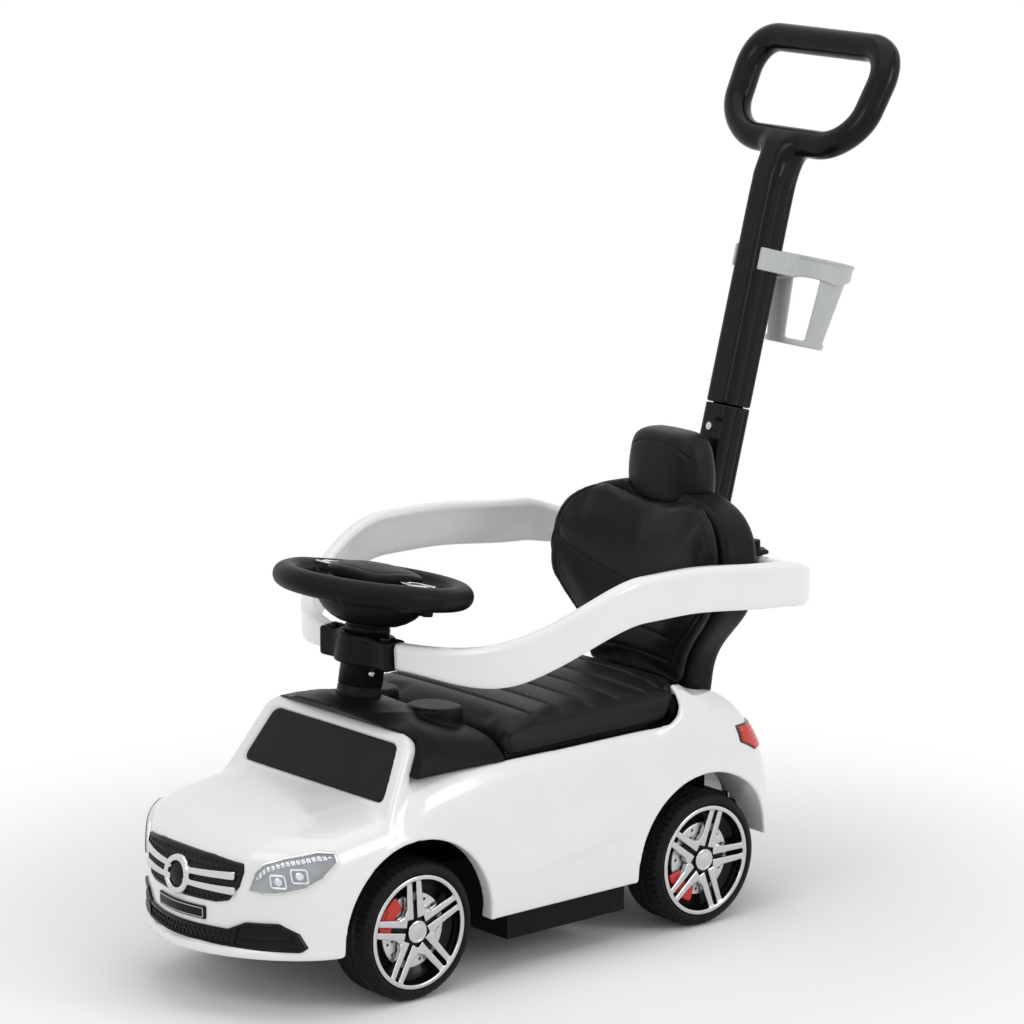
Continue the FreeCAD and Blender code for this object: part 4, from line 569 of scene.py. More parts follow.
GRILLE = mirrored([(48, 116), (60, 119), (70, 133), (73.5, 147), (72.5, 153), (40, 157)])


def grille_field(x, y, z):
    d = NOSE.depth(x, y, z)
    outline = polygon(x, z, GRILLE) - 1.5
    floor = joined(0.6, outline, slab(d, -2, 0.5))
    mesh = joined(0.5, outline, honeycomb(x, z, 6.5) - 0.9, slab(d, -1, 2.0))
    edge = joined(0.8, abs(outline + 1.2) - 1.6, slab(d, -2, 2.6))
    return union(floor, mesh, edge)


solid("grille", (-78, -98, 106), (78, -48, 162), 0.9, grille_field, "dark_mesh", "car",
      ["grille_panel"], NOSE)


def louvre_field(x, y, z):
    d = NOSE.depth(x, y, z)
    across = abs(x)
    ring = np.hypot(x, z - BOSS_Z)
    bars = [joined(1.8, abs(ring - 15.8) - 3.2, slab(d, 0.5, 6.8))]
    for middle, slope in ((139.5, 0.05), (129.0, -0.015)):
        line = middle + slope * across
        half = 2.6 + 0.022 * across
        bars.append(joined(1.2, abs(z - line) - half, slab(across, 10, 69), slab(d, 0.5, 5.2)))
    return union(*bars)


solid("grille_bars", (-76, -102, 112), (76, -48, 154), 0.8, louvre_field, "plated_silver", "car",
      ["grille_louvres"], NOSE)


def boss_field(x, y, z):
    d = NOSE.depth(x, y, z)
    ring = np.hypot(x, z - BOSS_Z)
    dome = 4.6 - 2.2 * (ring / 14) ** 2
    return joined(1, ring - 12.9, slab(d, 0.4, dome))


solid("grille_boss", (-15, -102, 117), (15, -78, 149), 0.7, boss_field, "black_gloss", "car", (), NOSE)


def plate_field(x, y, z):
    d = NOSE.depth(x, y, z)
    return joined(1.2, abs(x) - 36.4, abs(z - PLATE_Z) - 6.6, slab(d, 0.2, 2.9))


def plate_edge_field(x, y, z):
    d = NOSE.depth(x, y, z)
    outer = joined(1.4, abs(x) - 34.2, abs(z - PLATE_Z) - 4.6)
    return joined(0.3, abs(outer) - 0.55, slab(d, 2.4, 3.4))


solid("plate", (-38, -98, 92), (38, -68, 110), 0.7, plate_field, "black_gloss", "car", ["number_plate"], NOSE)
solid("plate_border", (-37, -98, 94), (37, -68, 108), 0.45, plate_edge_field, "plate_edge", "car", (), NOSE)

INTAKE = mirrored([(60, 72.6), (121, 72.6), (124, 76), (119, 89), (105, 98), (78, 97), (60, 88)])


def intake_outline(x, z):
    return polygon(x, z, INTAKE) - 1


def intake_field(x, y, z):
    d = NOSE.depth(x, y, z)
    outline = intake_outline(x, z)
    floor = joined(0.6, outline, slab(d, -1.5, 0.7))
    rim = joined(0.9, abs(outline + 1.6) - 1.7, slab(d, -1.5, 3.0))
    fin_line = 80 + 0.09 * np.maximum(abs(x) - 62, 0)
    fins = joined(0.7, outline, abs(z - fin_line) - 1.0, 70 - abs(x), slab(d, -1, 2.6))
    post = joined(0.7, outline, abs(abs(x) - 64 - 0.3 * (z - 72)) - 2.0, slab(d, -1, 3.2))
    return union(floor, rim, fins, post)


def intake_mesh_field(x, y, z):
    d = NOSE.depth(x, y, z)
    outline = np.maximum(intake_outline(x, z) + 3.0, abs(x) - 62)
    return joined(0.4, outline, honeycomb(x, z, 6.0) - 0.8, slab(d, 0.2, 1.9))


solid("lower_intake", (-127, -98, 70), (127, 4, 101), 0.9, intake_field, "black_gloss", "car",
      ["lower_grille"], NOSE)
solid("intake_mesh", (-125, -98, 71), (125, 4, 100), 0.9, intake_mesh_field, "dark_mesh", "car", (), NOSE)

LAMP = [(-0.5, -0.46), (-0.43, -0.02), (-0.33, 0.2), (-0.1, 0.36), (0.28, 0.5), (0.46, 0.46),
        (0.5, 0.26), (0.36, -0.08), (0.16, -0.32), (-0.1, -0.46), (-0.36, -0.5)]
HEAD_LAMP_ACROSS, HEAD_LAMP_Z, HEAD_LAMP_LENGTH, HEAD_LAMP_HEIGHT = 49.8, 148, 84, 40


def head_lamps(side_name, side):
    skin = Skin(NOSE_MID_Y, side * 45)
    middle = side * HEAD_LAMP_ACROSS
    low, high = (middle - 48, -128, 124), (middle + 48, -84, 173)

    def coords(x, y, z):
        u, v = side * (x - middle), z - HEAD_LAMP_Z
        outline = polygon(u, v, [(a * HEAD_LAMP_LENGTH, b * HEAD_LAMP_HEIGHT) for a, b in LAMP])
        return skin.depth(x, y, z), u, v, outline

    def housing(x, y, z):
        d, _, _, outline = coords(x, y, z)
        return joined(0.5, outline - 0.8, slab(d, -2, 0.4))

    def details(x, y, z):
        d, u, v, outline = coords(x, y, z)
        best = joined(0.5, abs(outline) - 1.0, slab(d, -2, 1.7))
        for mid_u, mid_v, size in ((-13, -7.5, 7.2), (7.5, -1.5, 7.6)):
            a, b = abs(u - mid_u + 0.18 * (v - mid_v)), abs(v - mid_v)
            square = joined(2.2, a - size, b - size * 0.82)
            frame_ring = joined(0.5, abs(square) - 1.1, slab(d, 0, 2.3))
            bowl = np.hypot(a, b)
            lens = joined(0.8, bowl - 4.4, d - (2.4 - 0.06 * bowl ** 2), -d)
            best = union(best, frame_ring, lens)
        facets = abs((u + 0.4 * v + 2.6) % 5.2 - 2.6)
        strip = abs(outline + 5.4) - 2.2
        row = joined(0.5, np.maximum(strip, -(v - 0.30 * u - 3)), facets - 2.1, slab(d, 0, 1.9))
        return np.minimum(best, row)

    def lens(x, y, z):
        d, _, _, outline = coords(x, y, z)
        return joined(0.5, outline + 0.6, slab(d, 2.6, 3.6))

    solid(f"headlamp_{side_name}", low, high, 0.7, housing, "lamp_floor", "car",
          [f"headlamp_housing_{side_name}"], skin)
    solid(f"headlamp_bulbs_{side_name}", low, high, 0.6, details, "bright_lamp", "car", (), skin)
    solid(f"headlamp_cover_{side_name}", low, high, 0.7, lens, "clear_lens", "car",
          [f"headlamp_lens_{side_name}"], skin)


TAIL_LAMP = [(-0.5, -0.42), (-0.46, 0.1), (-0.2, 0.5), (0.5, 0.46), (0.5, -0.1), (0.2, -0.5)]
TAIL_LAMP_ACROSS, TAIL_LAMP_Z, TAIL_LAMP_LENGTH, TAIL_LAMP_HEIGHT = 77.8, 189, 50, 27


def tail_lamps(side_name, side):
    skin = Skin(TAIL_MID_Y, side * 135)
    middle = -side * TAIL_LAMP_ACROSS
    low, high = (middle - 32, -122, 171), (middle + 32, -50, 207)

    def coords(x, y, z):
        u, v = -side * (x - middle), z - TAIL_LAMP_Z
        outline = polygon(u, v, [(a * TAIL_LAMP_LENGTH, b * TAIL_LAMP_HEIGHT) for a, b in TAIL_LAMP])
        return skin.depth(x, y, z), outline, v

    def edge(x, y, z):
        d, outline, _ = coords(x, y, z)
        return joined(0.6, outline - 1.6, slab(d, -1, 1.0))

    def red(x, y, z):
        d, outline, v = coords(x, y, z)
        ribs = 0.5 * abs((v + 2.5) % 5 - 2.5) / 2.5
        return joined(1.2, outline, slab(d, 0.2, 2.3 + ribs))

    solid(f"tail_lamp_edge_{side_name}", low, high, 0.9, edge, "dark_lens", "car", (), skin)
    solid(f"tail_lamp_glass_{side_name}", low, high, 0.8, red, "red_lens", "car", [f"tail_lamp_{side_name}"],
          skin)


for side_name, side in SIDES:
    head_lamps(side_name, side)
    tail_lamps(side_name, side)


# Dash
DASH = ((-206, 262), (-153, 262), (-128, 257), (-98, 248), (-71, 243))
KNEE_X, KNEE_Y = 50, -96


def dash_field(x, y, z):
    top = curve_at(y, DASH)
    middle, reach = (BODY_FOOT + top) / 2, (top - BODY_FOOT) / 2
    half = 130.5 / (1 - ((SILL_Z - middle) / reach) ** 5) ** 0.2
    d = (rounded(x / half, (z - middle) / reach, 5) - 1) * np.minimum(half, reach) * 1.05
    u, v, w = COLUMN.local(x, y, z)
    ring = np.hypot(u, v)
    mound = w - 9 * (1 - ease((ring - 24) / 40)) + np.maximum(ring - 60, 0)
    d = smin(d, mound, 16)
    for _, side in SIDES:
        spot = np.hypot(x - side * KNEE_X, y - KNEE_Y)
        d = smin(d, joined(5, spot - 28, slab(z, 226, 263.5 - 0.06 * (y - KNEE_Y))), 3)
    _, screen_up, screen_out = SCREEN.local(x, y, z)
    d = smax(d, np.minimum(screen_out + 13, 70 - screen_up), 1)
    d = smax(d, DASH[0][0] - y, 2)
    d = smax(d, y - DASH[-1][0] + 0.6, 1.5)
    d = smax(d, SILL_Z + 0.4 - z, 1)
    return smax(d, COLUMN_RADIUS + 0.3 - ring, 1)


solid("dash", (-136, -210, 216), (136, -70, 292), 1.5, dash_field, "black_matte", "car", ["dash_cover"],
      rounds=3)


# Guard rail
RAIL_START, RAIL_EASE = math.radians(16.6), math.radians(40)
RAIL_RADIUS, RAIL_MID_Y, RAIL_BEND = 200, 35, 54
RAIL_HEIGHT, RAIL_END_HEIGHT, RAIL_END_X = 46, 30, 106


def rail_level(y):
    rise, fall, drop = ease((y + 132) / 176), ease((y - 90) / 150), ease((y - 225) / 70)
    return 314 + 60 * rise - 12 * fall - 12 * drop


def rail_stations():
    """Place, outward direction, height and lift of the rail's sections, from the clamp to the hinge."""
    stations = []
    for angle in np.linspace(RAIL_START, math.pi / 2, 56):
        out_x, out_y = math.sin(angle), -math.cos(angle)
        share = 1 - ease((angle - RAIL_START) / RAIL_EASE)
        stations.append((RAIL_RADIUS * out_x - 4 * share, RAIL_MID_Y + RAIL_RADIUS * out_y + 13 * share,
                         out_x, out_y, RAIL_HEIGHT - 19 * share, 6 * share))
    bend_x, bend_y = RAIL_RADIUS - RAIL_BEND, HINGE[1] - RAIL_BEND
    for y in np.linspace(RAIL_MID_Y, bend_y, 30)[1:]:
        stations.append((RAIL_RADIUS, y, 1, 0, RAIL_HEIGHT, 0))
    for angle in np.radians(np.linspace(0, 90, 22)[1:]):
        out_x, out_y = math.cos(angle), math.sin(angle)
        height = RAIL_HEIGHT - (RAIL_HEIGHT - RAIL_END_HEIGHT) * ease(angle / (math.pi / 2))
        stations.append((bend_x + RAIL_BEND * out_x, bend_y + RAIL_BEND * out_y, out_x, out_y, height, 0))
    for x in np.linspace(bend_x, RAIL_END_X, 8)[1:]:
        stations.append((x, HINGE[1], 0, 1, RAIL_END_HEIGHT, 0))
    return stations


def rail_rings():
    turn = 2 * np.pi * (np.arange(40) + 0.5) / 40
    rings = []
    for x, y, nx, ny, height, lift in rail_stations():
        across = 7 * np.sign(np.cos(turn)) * abs(np.cos(turn)) ** 0.5
        above = height / 2 * np.sign(np.sin(turn)) * abs(np.sin(turn)) ** 0.36
        across = across + 0.9 * bell(above - height / 2 + 6, 3) * np.sign(across)
        rings.append(np.stack([x + nx * across, y + ny * across, rail_level(y) + lift + above], axis=1))
    return rings


EYE = ((4.3, -15), (8.2, -15), (9, -14), (9, 14), (8.2, 15), (4.3, 15), (4.3, -15))
for side_name, side in SIDES:
    bar, bar_quads = loft(rail_rings())
    eye, eye_quads = lathe(EYE, 48)
    points = np.concatenate([bar, eye + np.array(HINGE)]) * (side, 1, 1)
    quads = np.concatenate([bar_quads[:, ::-1], eye_quads + len(bar)])
    rail = linked(f"guard_rail_{side_name}", quad_mesh("rail", points, quads[:, ::side]))
    dressed(rail, "white_gloss", f"rail_arm_{side_name}", [f"rail_{side_name}"])


# Wheels
def tread(radius, depth):
    def at(angle):
        return radius - depth * (np.cos(60 * angle) > 0.45)
    return at


TYRE = ((57.2, 4), (57.6, 1.6), (59, 0.5), (62, 0.2), (65.2, 1.6), (67.4, 4), (68.6, 7.5), (69, 11),
        (69, 19.4), (67.6, 20), (67.6, 22), (69, 22.6), (69, 31.4), (67.6, 32), (67.6, 34), (69, 34.6),
        (69, 41.5), (tread(69, 1.1), 42), (tread(68.9, 1.2), 46), (tread(68.0, 1.2), 49), (67.2, 49.6),
        (66.0, 51.4), (64.2, 52.6), (62.6, 53.0), (62.2, 53.6), (60.4, 53.9), (58.4, 53.4), (57.4, 52.2),
        (57.2, 50), (57.2, 4))
SPOKE = [(13.0, 2.3), (53.5, 2.5), (53.5, 8.8), (25, 10.0), (19.2, 13.4), (17.0, 12.35), (13.6, 9.9)]
STAR = [(0, 0), (30, 0), (30, 2.0), (14, 2.6), (11, 12), (0, 16)]
CAP = ((0.2, 47.5), (9.0, 47.5), (10.6, 47.8), (11.2, 48.6), (11.2, 51.0), (10.6, 51.9), (9.4, 52.1),
       (8.8, 51.7), (8.2, 51.6), (6.5, 52.0), (3.5, 52.35), (0.2, 52.45))
BARREL = ((57, 2), (57, 47), (53.4, 47), (52.6, 46), (51.4, 41), (51.2, 40.2), (20, 40.0), (12.2, 40.0),
          (12.2, 12.4), (14, 12.2), (15, 13), (16, 34), (20, 36), (50, 36.4), (52, 34), (53, 20),
          (53.4, 3), (54.4, 1.4), (56.4, 1.2), (57, 2))


def folded(a, b, turn_deg):
    """Distance along and across the nearest of five spokes."""
    radius = np.hypot(a, b)
    fifth = 2 * np.pi / 5
    angle = np.arctan2(b, a) - math.radians(turn_deg)
    angle = (angle + fifth / 2) % fifth - fifth / 2
    return radius * np.cos(angle), abs(radius * np.sin(angle)), radius


def make_wheel(end_name, axle, side_name, side):
    local = WheelFrame(side, axle)
    name = f"{end_name}_{side_name}"
    body = f"wheel_{name}"
    turn, caliper_deg = (23, 150) if end_name == "front" else (0, 222)

    def face(a, b, c):
        along, across, radius = folded(a, b, turn)
        top = 49.6 + 2.6 * np.clip(radius / 53, 0, 1)
        bars = joined(1.1, polygon(along, across, SPOKE), slab(c, top - 6, top))
        lip = joined(1.4, abs(radius - 54.5) - 2.4, slab(c, 46, 54))
        return smin(bars, lip, 1.5)

    def star(a, b, c):
        along, across, radius = folded(a, b, turn)
        arms = np.maximum(polygon(along, across, STAR), radius - STAR[1][0])
        return joined(0.8, arms, slab(c, 43, 47.6))

    def disc(a, b, c):
        radius = np.hypot(a, b)
        angle = np.arctan2(b, a)
        d = joined(0.5, abs(radius - 25) - 12.5, slab(c, 40.1, 43.2))
        for ring, count, shift in ((19.5, 10, 0.0), (25.5, 14, 0.2), (32, 16, 0.1)):
            part = 2 * np.pi / count
            fold = (angle + shift + part / 2) % part - part / 2
            hole = np.hypot(radius * np.cos(fold) - ring, radius * np.sin(fold)) - 1.5
            d = smax(d, -hole, 0.4)
        return smin(d, joined(0.6, radius - 14.5, slab(c, 40.1, 44)), 1)

    def caliper(a, b, c):
        radius = np.hypot(a, b)
        angle = np.arctan2(b, a) - math.radians(caliper_deg)
        angle = (angle + np.pi) % (2 * np.pi) - np.pi
        arc = angle * 36
        block = joined(3, abs(radius - 36.5) - 8.5, abs(arc) - 19, slab(c, 43.4, 47))
        waist = joined(1, abs(arc) - 5, abs(radius - 45) - 4, slab(c, 45, 50))
        ribs = joined(0.5, abs(abs(arc) - 11) - 0.8, abs(radius - 37) - 5, slab(c, 46.2, 49))
        return smax(smax(block, -waist, 1), -ribs, 0.5)

    turned(f"tread_{name}", TYRE, local, "tyre_black", body, [f"tyre_{name}"], 360)
    solid(f"spokes_{name}", (-57, -57, 41), (57, 57, 55), 0.75, face, "plated_silver", body,
          [f"wheel_trim_{name}"], local)
    solid(f"star_{name}", (-31, -31, 42), (31, 31, 49), 0.75, star, "black_gloss", body, (), local)
    solid(f"disc_{name}", (-38, -38, 39), (38, 38, 45), 0.8, disc, "disc_silver", body,
          [f"brake_plate_{name}"], local)
    solid(f"caliper_{name}", (-47, -47, 42.5), (47, 47, 48), 0.8, caliper, "caliper_red", body, (), local)
    turned(f"cap_{name}", CAP, local, "plated_silver", body, segments=120)
    turned(f"rim_barrel_{name}", BARREL, local, "black_gloss", body, [f"rim_{name}"], 120)


for end_name, axle in ENDS:
    for side_name, side in SIDES:
        make_wheel(end_name, axle, side_name, side)


# Column, clamp and steering wheel
COLUMN_TUBE = ((5.2, -10), (COLUMN_RADIUS, -10), (COLUMN_RADIUS, 17), (21.4, 17.6), (21.4, 18.8),
               (COLUMN_RADIUS, 19.4), (COLUMN_RADIUS, 71.6),
               (22.6, 72.2), (22.6, 77.0), (21.6, 77.8), (21.6, 79.4), (22.4, 80), (22.4, 90.6), (21, 92),
               (5.2, 92), (5.2, 86), (17, 86), (17, -4), (5.2, -4), (5.2, -10))
LATCH_X, LATCH_Y, COLLAR_RADIUS = 40, -149, 29
LATCH = ((0.2, 329.2), (5, 329.2), (5, 336.2), (4.4, 337.4), (3.2, 338), (2.6, 337.6), (0.2, 337.5))
turned("column", COLUMN_TUBE, COLUMN, "black_matte", "car", ["column_tube"])


def clamp_field(x, y, z):
    u, v, w = COLUMN.local(x, y, z)
    ring = np.hypot(u, v)
    collar = joined(2.5, ring - COLLAR_RADIUS, slab(w, 40, 70))
    groove = joined(0.4, abs(ring - COLLAR_RADIUS) - 0.9, abs(w - 63) - 0.7)
    across = abs(x)
    depth = slab(y, -158, -135) - 1.5 * ease((across - 30) / 20)
    arm = joined(3.5, across - 52.6, depth, slab(z, 305, 334.5))
    recess = joined(1.5, slab(across, 31, 49), slab(y, -154, -139), 331.6 - z)
    panel = joined(1.2, slab(across, 34, 49), slab(y, -156.8, -154), slab(z, 310, 329))
    d = smax(smin(collar, arm, 6), -groove, 0.5)
    d = smax(smax(d, -panel, 0.8), -recess, 0.8)
    well = np.hypot(across - LATCH_X, y - LATCH_Y)
    d = smax(d, -np.maximum(well - 5.4, 325 - z), 0.5)
    return smax(d, COLUMN_RADIUS + 0.4 - ring, 0.6)


solid("clamp", (-60, -184, 288), (60, -112, 340), 0.9, clamp_field, "black_matte", "car", ["rail_clamp"],
      rounds=1)
for side_name, side in SIDES:
    turned(f"latch_button_{side_name}", LATCH, CAR, "black_gloss", f"latch_{side_name}",
           [f"rail_latch_{side_name}"], 40, (side * LATCH_X, LATCH_Y, 0))
GRIP_RADIUS, GRIP_Z = 87, 118


def wheel_field(x, y, z):
    ring = np.hypot(x, y)
    angle = np.arctan2(y, x)
    tube = 12.6 + 0.8 * bell(abs(x) - 80, 16) * bell(y + 26, 16)
    rim = np.hypot(ring - GRIP_RADIUS, (z - GRIP_Z) * 1.04) - tube
    for seam in (2.45, 2.62, 0.52, 0.69, -1.05, -2.09):
        rim = rim + 0.8 * bell((angle - seam) * GRIP_RADIUS, 0.9)
    rim = rim + 0.5 * bell(ring - 76.5, 0.8) * (z > GRIP_Z)
    plate = joined(3, ring - 53, slab(z, 112.3, 119.6))
    width = abs(y) - 14 - 2 * ease((abs(x) - 60) / 20)
    arms = joined(2.5, width, abs(x) - 84, slab(z, 113, 119.6))
    lower = joined(2.5, abs(x) - 17, slab(y, 0, 84), slab(z, 113, 119.6))
    slot = joined(1.5, abs(x) - 8, slab(y, 58, 72), slab(z, 118, 124))
    lower = smax(lower, -slot, 1)
    tab = joined(1.2, slab(x, 50, 68), slab(y, 12, 24), slab(z, 98, 114))
    d = smin(rim, smin(plate, smin(arms, lower, 3), 3), 5)
    d = smin(d, tab, 1.5)
    return np.maximum(d, 5.2 - ring)


solid("steering_rim", (-102, -102, 96), (102, 102, 133), 1.0, wheel_field, "black_matte", "steering",
      ["steering_wheel"], COLUMN, rounds=1)
BOWL = ((23.6, 80.6), (25.2, 80), (30, 81), (38, 84.6), (46, 90.4), (52, 97.6), (55.4, 105), (56.4, 110),
        (55.6, 112.4), (53, 112), (50.6, 102), (44, 93.6), (34, 88), (24, 86), (23.6, 84.6), (23.6, 80.6))
turned("steering_bowl", BOWL, COLUMN, "black_matte", "steering", ["steering_hub"])


HORN_X, HORN_Y = 46, 37.5


def horn_field(x, y, z):
    spread = np.hypot(x / HORN_X, (y - 1) / 36.5)
    outline = (rounded(x / HORN_X, y / HORN_Y, 3.2) - 1) * 38
    top = 139.4 - 5.0 * np.clip(spread, 0, 1.25) ** 2.4
    d = joined(2.6, outline, slab(z, 123.2, top))
    d = d + 0.7 * bell(outline + 7.5, 0.8) * (z > 126)
    d = d + 0.6 * bell(np.hypot(x, y) - 13.5, 0.7) * (z > 126)
    hollow = overlap(abs(x) - 36.6, abs(y) - 28.6, z - 130.2)
    return np.maximum(d, -hollow)


solid("horn", (-48, -39, 121), (48, 39, 140), 0.8, horn_field, "black_matte", "horn", ["horn_pad"], COLUMN,
      rounds=1)


KEY_X = 63.5


def hexagon(u, v, size):
    return np.maximum(abs(v), abs(v) * 0.5 + abs(u) * 0.866) - size


def spoke_trim_field(x, y, z):
    u, v = abs(x) - KEY_X, y
    ring = abs(hexagon(u * 0.86, v, 9.6)) - 2.0
    wings = joined(0.5, abs(abs(v) - 9.2 - 0.18 * (u + 10)) - 1.5, slab(u, -12, 13))
    shape = np.maximum(np.minimum(ring, wings), 6.4 - np.hypot(u, v))
    return joined(0.7, shape, slab(z, 119.0, 130.0))


solid("spoke_silver", (-80, -15, 118), (80, 15, 131), 0.7, spoke_trim_field, "plated_silver", "steering",
      ["spoke_trims"], COLUMN)
for side_name, side in SIDES:
    def music_field(x, y, z, side=side):
        u = x - side * KEY_X
        body = joined(1.0, hexagon(u, y, 5.9), slab(z, 122.3, 130.2))
        mark = joined(0.4, abs(np.hypot(u, y) - 3.0) - 0.6, abs(z - 130.3) - 0.8)
        return smax(body, -mark, 0.4)

    solid(f"music_key_{side_name}", (side * KEY_X - 8, -8, 121), (side * KEY_X + 8, 8, 132), 0.5,
          music_field, "black_gloss", f"music_{side_name}", [f"music_button_{side_name}"], COLUMN)


# Handle and cup holder
POLE_WALL, POLE_JOINT = 4, 400


def pole_core(x, y, r, inset):
    return joined(r, abs(x) - POLE_X + inset, abs(y) - POLE_Y + inset)


def pole_section(x, y):
    d = pole_core(x, y, 8.5, 0)
    for place_y in (-4.0, 9.5):
        d = d + 1.2 * bell(y - place_y, 0.9) * (abs(x) > 10)
    strip = joined(1, abs(x) - 9, 18.4 - y)
    return smax(d, -strip, 0.8)


def lower_field(x, y, z):
    d = joined(1.2, pole_section(x, y), slab(z, 0, POLE_JOINT - 0.4))
    hollow = np.maximum(pole_core(x, y, 12, POLE_WALL), z - POLE_JOINT + 15)
    spigot = np.maximum(pole_core(x, y, 11.5, POLE_WALL + 0.5), slab(z, POLE_JOINT - 20, POLE_JOINT + 60))
    notch = joined(2, slab(x, 6, 15), slab(y, -24, -17.2), slab(z, 366, 384))
    return smax(np.minimum(np.maximum(d, -hollow), spigot), -notch, 1)


solid("pole_lower", (-19, -21, 0), (19, 21, 461), 1.3, lower_field, "black_gloss", "car", ["handle_lower"],
      HANDLE)
LOOP_LEAN, LOOP_FOOT = math.radians(28.5 - HANDLE_LEAN), 644
LOOP_LOW, LOOP_HIGH, LOOP_HALF, LOOP_GROWTH, LOOP_TUBE = 38, 150, 93, 9, 15


def upper_field(x, y, z):
    up, sin, cos = z - LOOP_FOOT, math.sin(LOOP_LEAN), math.cos(LOOP_LEAN)
    v, w = up * cos + y * sin, y * cos - up * sin
    share = (v - LOOP_LOW) / (LOOP_HIGH - LOOP_LOW)
    corner = 50 - 16 * np.clip(share, 0, 1)
    side = (abs(x) - LOOP_HALF - LOOP_GROWTH * share) * 0.997
    outline = joined(corner, side, slab(v, LOOP_LOW, LOOP_HIGH))
    tube = np.hypot(outline, w * 1.03) - LOOP_TUBE
    tube = tube + 0.5 * bell(w, 0.8) * (outline > 0)
    bend = math.tan(LOOP_LEAN) * 8 * np.log1p(np.exp(up / 8))
    pole = joined(9, pole_section(x, y - bend), v - 36)
    pole = joined(1.2, pole, POLE_JOINT + 0.5 - z)
    socket = np.maximum(pole_core(x, y, 12, POLE_WALL + 0.1), z - LOOP_FOOT + 14)
    pole = np.maximum(pole, -socket)
    neck = joined(12, abs(x) - 19 - 7 * ease((v - 8) / 30), abs(w) - 17, slab(v, -16, 40))
    return smin(smin(pole, neck, 4), tube, 10)


solid("pole_upper", (-120, -32, 400), (120, 62, 812), 1.5, upper_field, "black_gloss", "car",
      ["handle_upper"], HANDLE, rounds=2)


CUP_Y, CUP_FOOT, CUP_TOP, CUP_FOOT_RADIUS = 76, 475, 568, 30.5
ARM_LOW, ARM_HIGH = 543.5, 567


def cup_field(x, y, z):
    v = y - CUP_Y
    ring = np.hypot(x, v)
    dip = 5 * abs(x * v) / np.maximum(ring * ring, 1)
    band = joined(1.2, abs(ring - 42.8) - 2.6, slab(z, 543 + 3 * (v / 45) + 2 * dip, CUP_TOP))
    flange = joined(0.8, abs(ring - 43.4) - 3.4, slab(z, CUP_TOP - 3.5, CUP_TOP))
    radius = CUP_FOOT_RADIUS + 12 * np.clip((z - CUP_FOOT) / 72, 0, 1)
    wall = joined(0.8, slab(ring, radius - 3.4, radius), slab(z, CUP_FOOT, 549))
    first, second = abs(x + v) * 0.7071, abs(x - v) * 0.7071
    for a, b in ((first, second), (second, first)):
        gap = joined(3, a - radius / 3, slab(z, CUP_FOOT + 6, 552), 6 - b)
        wall = smax(wall, -gap, 1)
    base = smax(joined(1, ring - CUP_FOOT_RADIUS, slab(z, CUP_FOOT, CUP_FOOT + 4)), 6 - ring, 0.6)
    arms = joined(1.2, abs(abs(x) - 19.9) - 1.8, slab(y, -9, 40), slab(z, ARM_LOW, ARM_HIGH))
    hooks = joined(0.8, abs(pole_section(x, y) - 1.9) - 1.8, slab(y, -16.2, -6), slab(z, ARM_LOW, ARM_HIGH))
    bridge = joined(1.5, abs(x) - 22, slab(y, 21, 37), slab(z, ARM_LOW + 5, ARM_HIGH))
    bridge = np.maximum(bridge, 41 - ring)
    d = smin(np.minimum(band, flange), smin(wall, base, 1), 1.5)
    d = smin(d, smin(arms, bridge, 2), 2)
    d = smin(d, hooks, 0.6)
    pole = joined(15, abs(x) - POLE_X - 0.2, abs(y) - POLE_Y - 0.1)
    return smax(d, -pole, 0.5)


solid("cup", (-48, -26, 473), (48, 124, 570), 0.9, cup_field, "light_grey", "car", ["cup_holder"], HANDLE,
      rounds=1)


# Seat, backrest and headrest
def baked(obj):
    """Applies an object's modifiers to its mesh."""
    graph = bpy.context.evaluated_depsgraph_get()
    mesh = bpy.data.meshes.new_from_object(obj.evaluated_get(graph))
    obj.modifiers.clear()
    obj.data = mesh


def vectors_of(items, label):
    """The vectors that a list of mesh items holds under a label, as rows."""
    found = np.zeros(len(items) * 3, dtype=np.float32)
    items.foreach_get(label, found)
    return found.reshape(-1, 3).astype(float)


def spots_of(mesh):
    return vectors_of(mesh.vertices, "co")


def normals_of(mesh):
    return vectors_of(mesh.vertex_normals, "vector")


def set_spots(mesh, spots):
    mesh.vertices.foreach_set("co", spots.astype(np.float32).ravel())
    mesh.update()


def remeshed(name, node, voxel, smooth_rounds):
    """A closed even mesh over a solid, with its edges softened."""
    obj = linked(name, frame["nodes"][node].data.copy())
    remesh = obj.modifiers.new("remesh", "REMESH")
    remesh.mode, remesh.voxel_size = "VOXEL", voxel
    soften = obj.modifiers.new("soften", "SMOOTH")
    soften.iterations, soften.factor = smooth_rounds, 0.5
    baked(obj)
    return obj


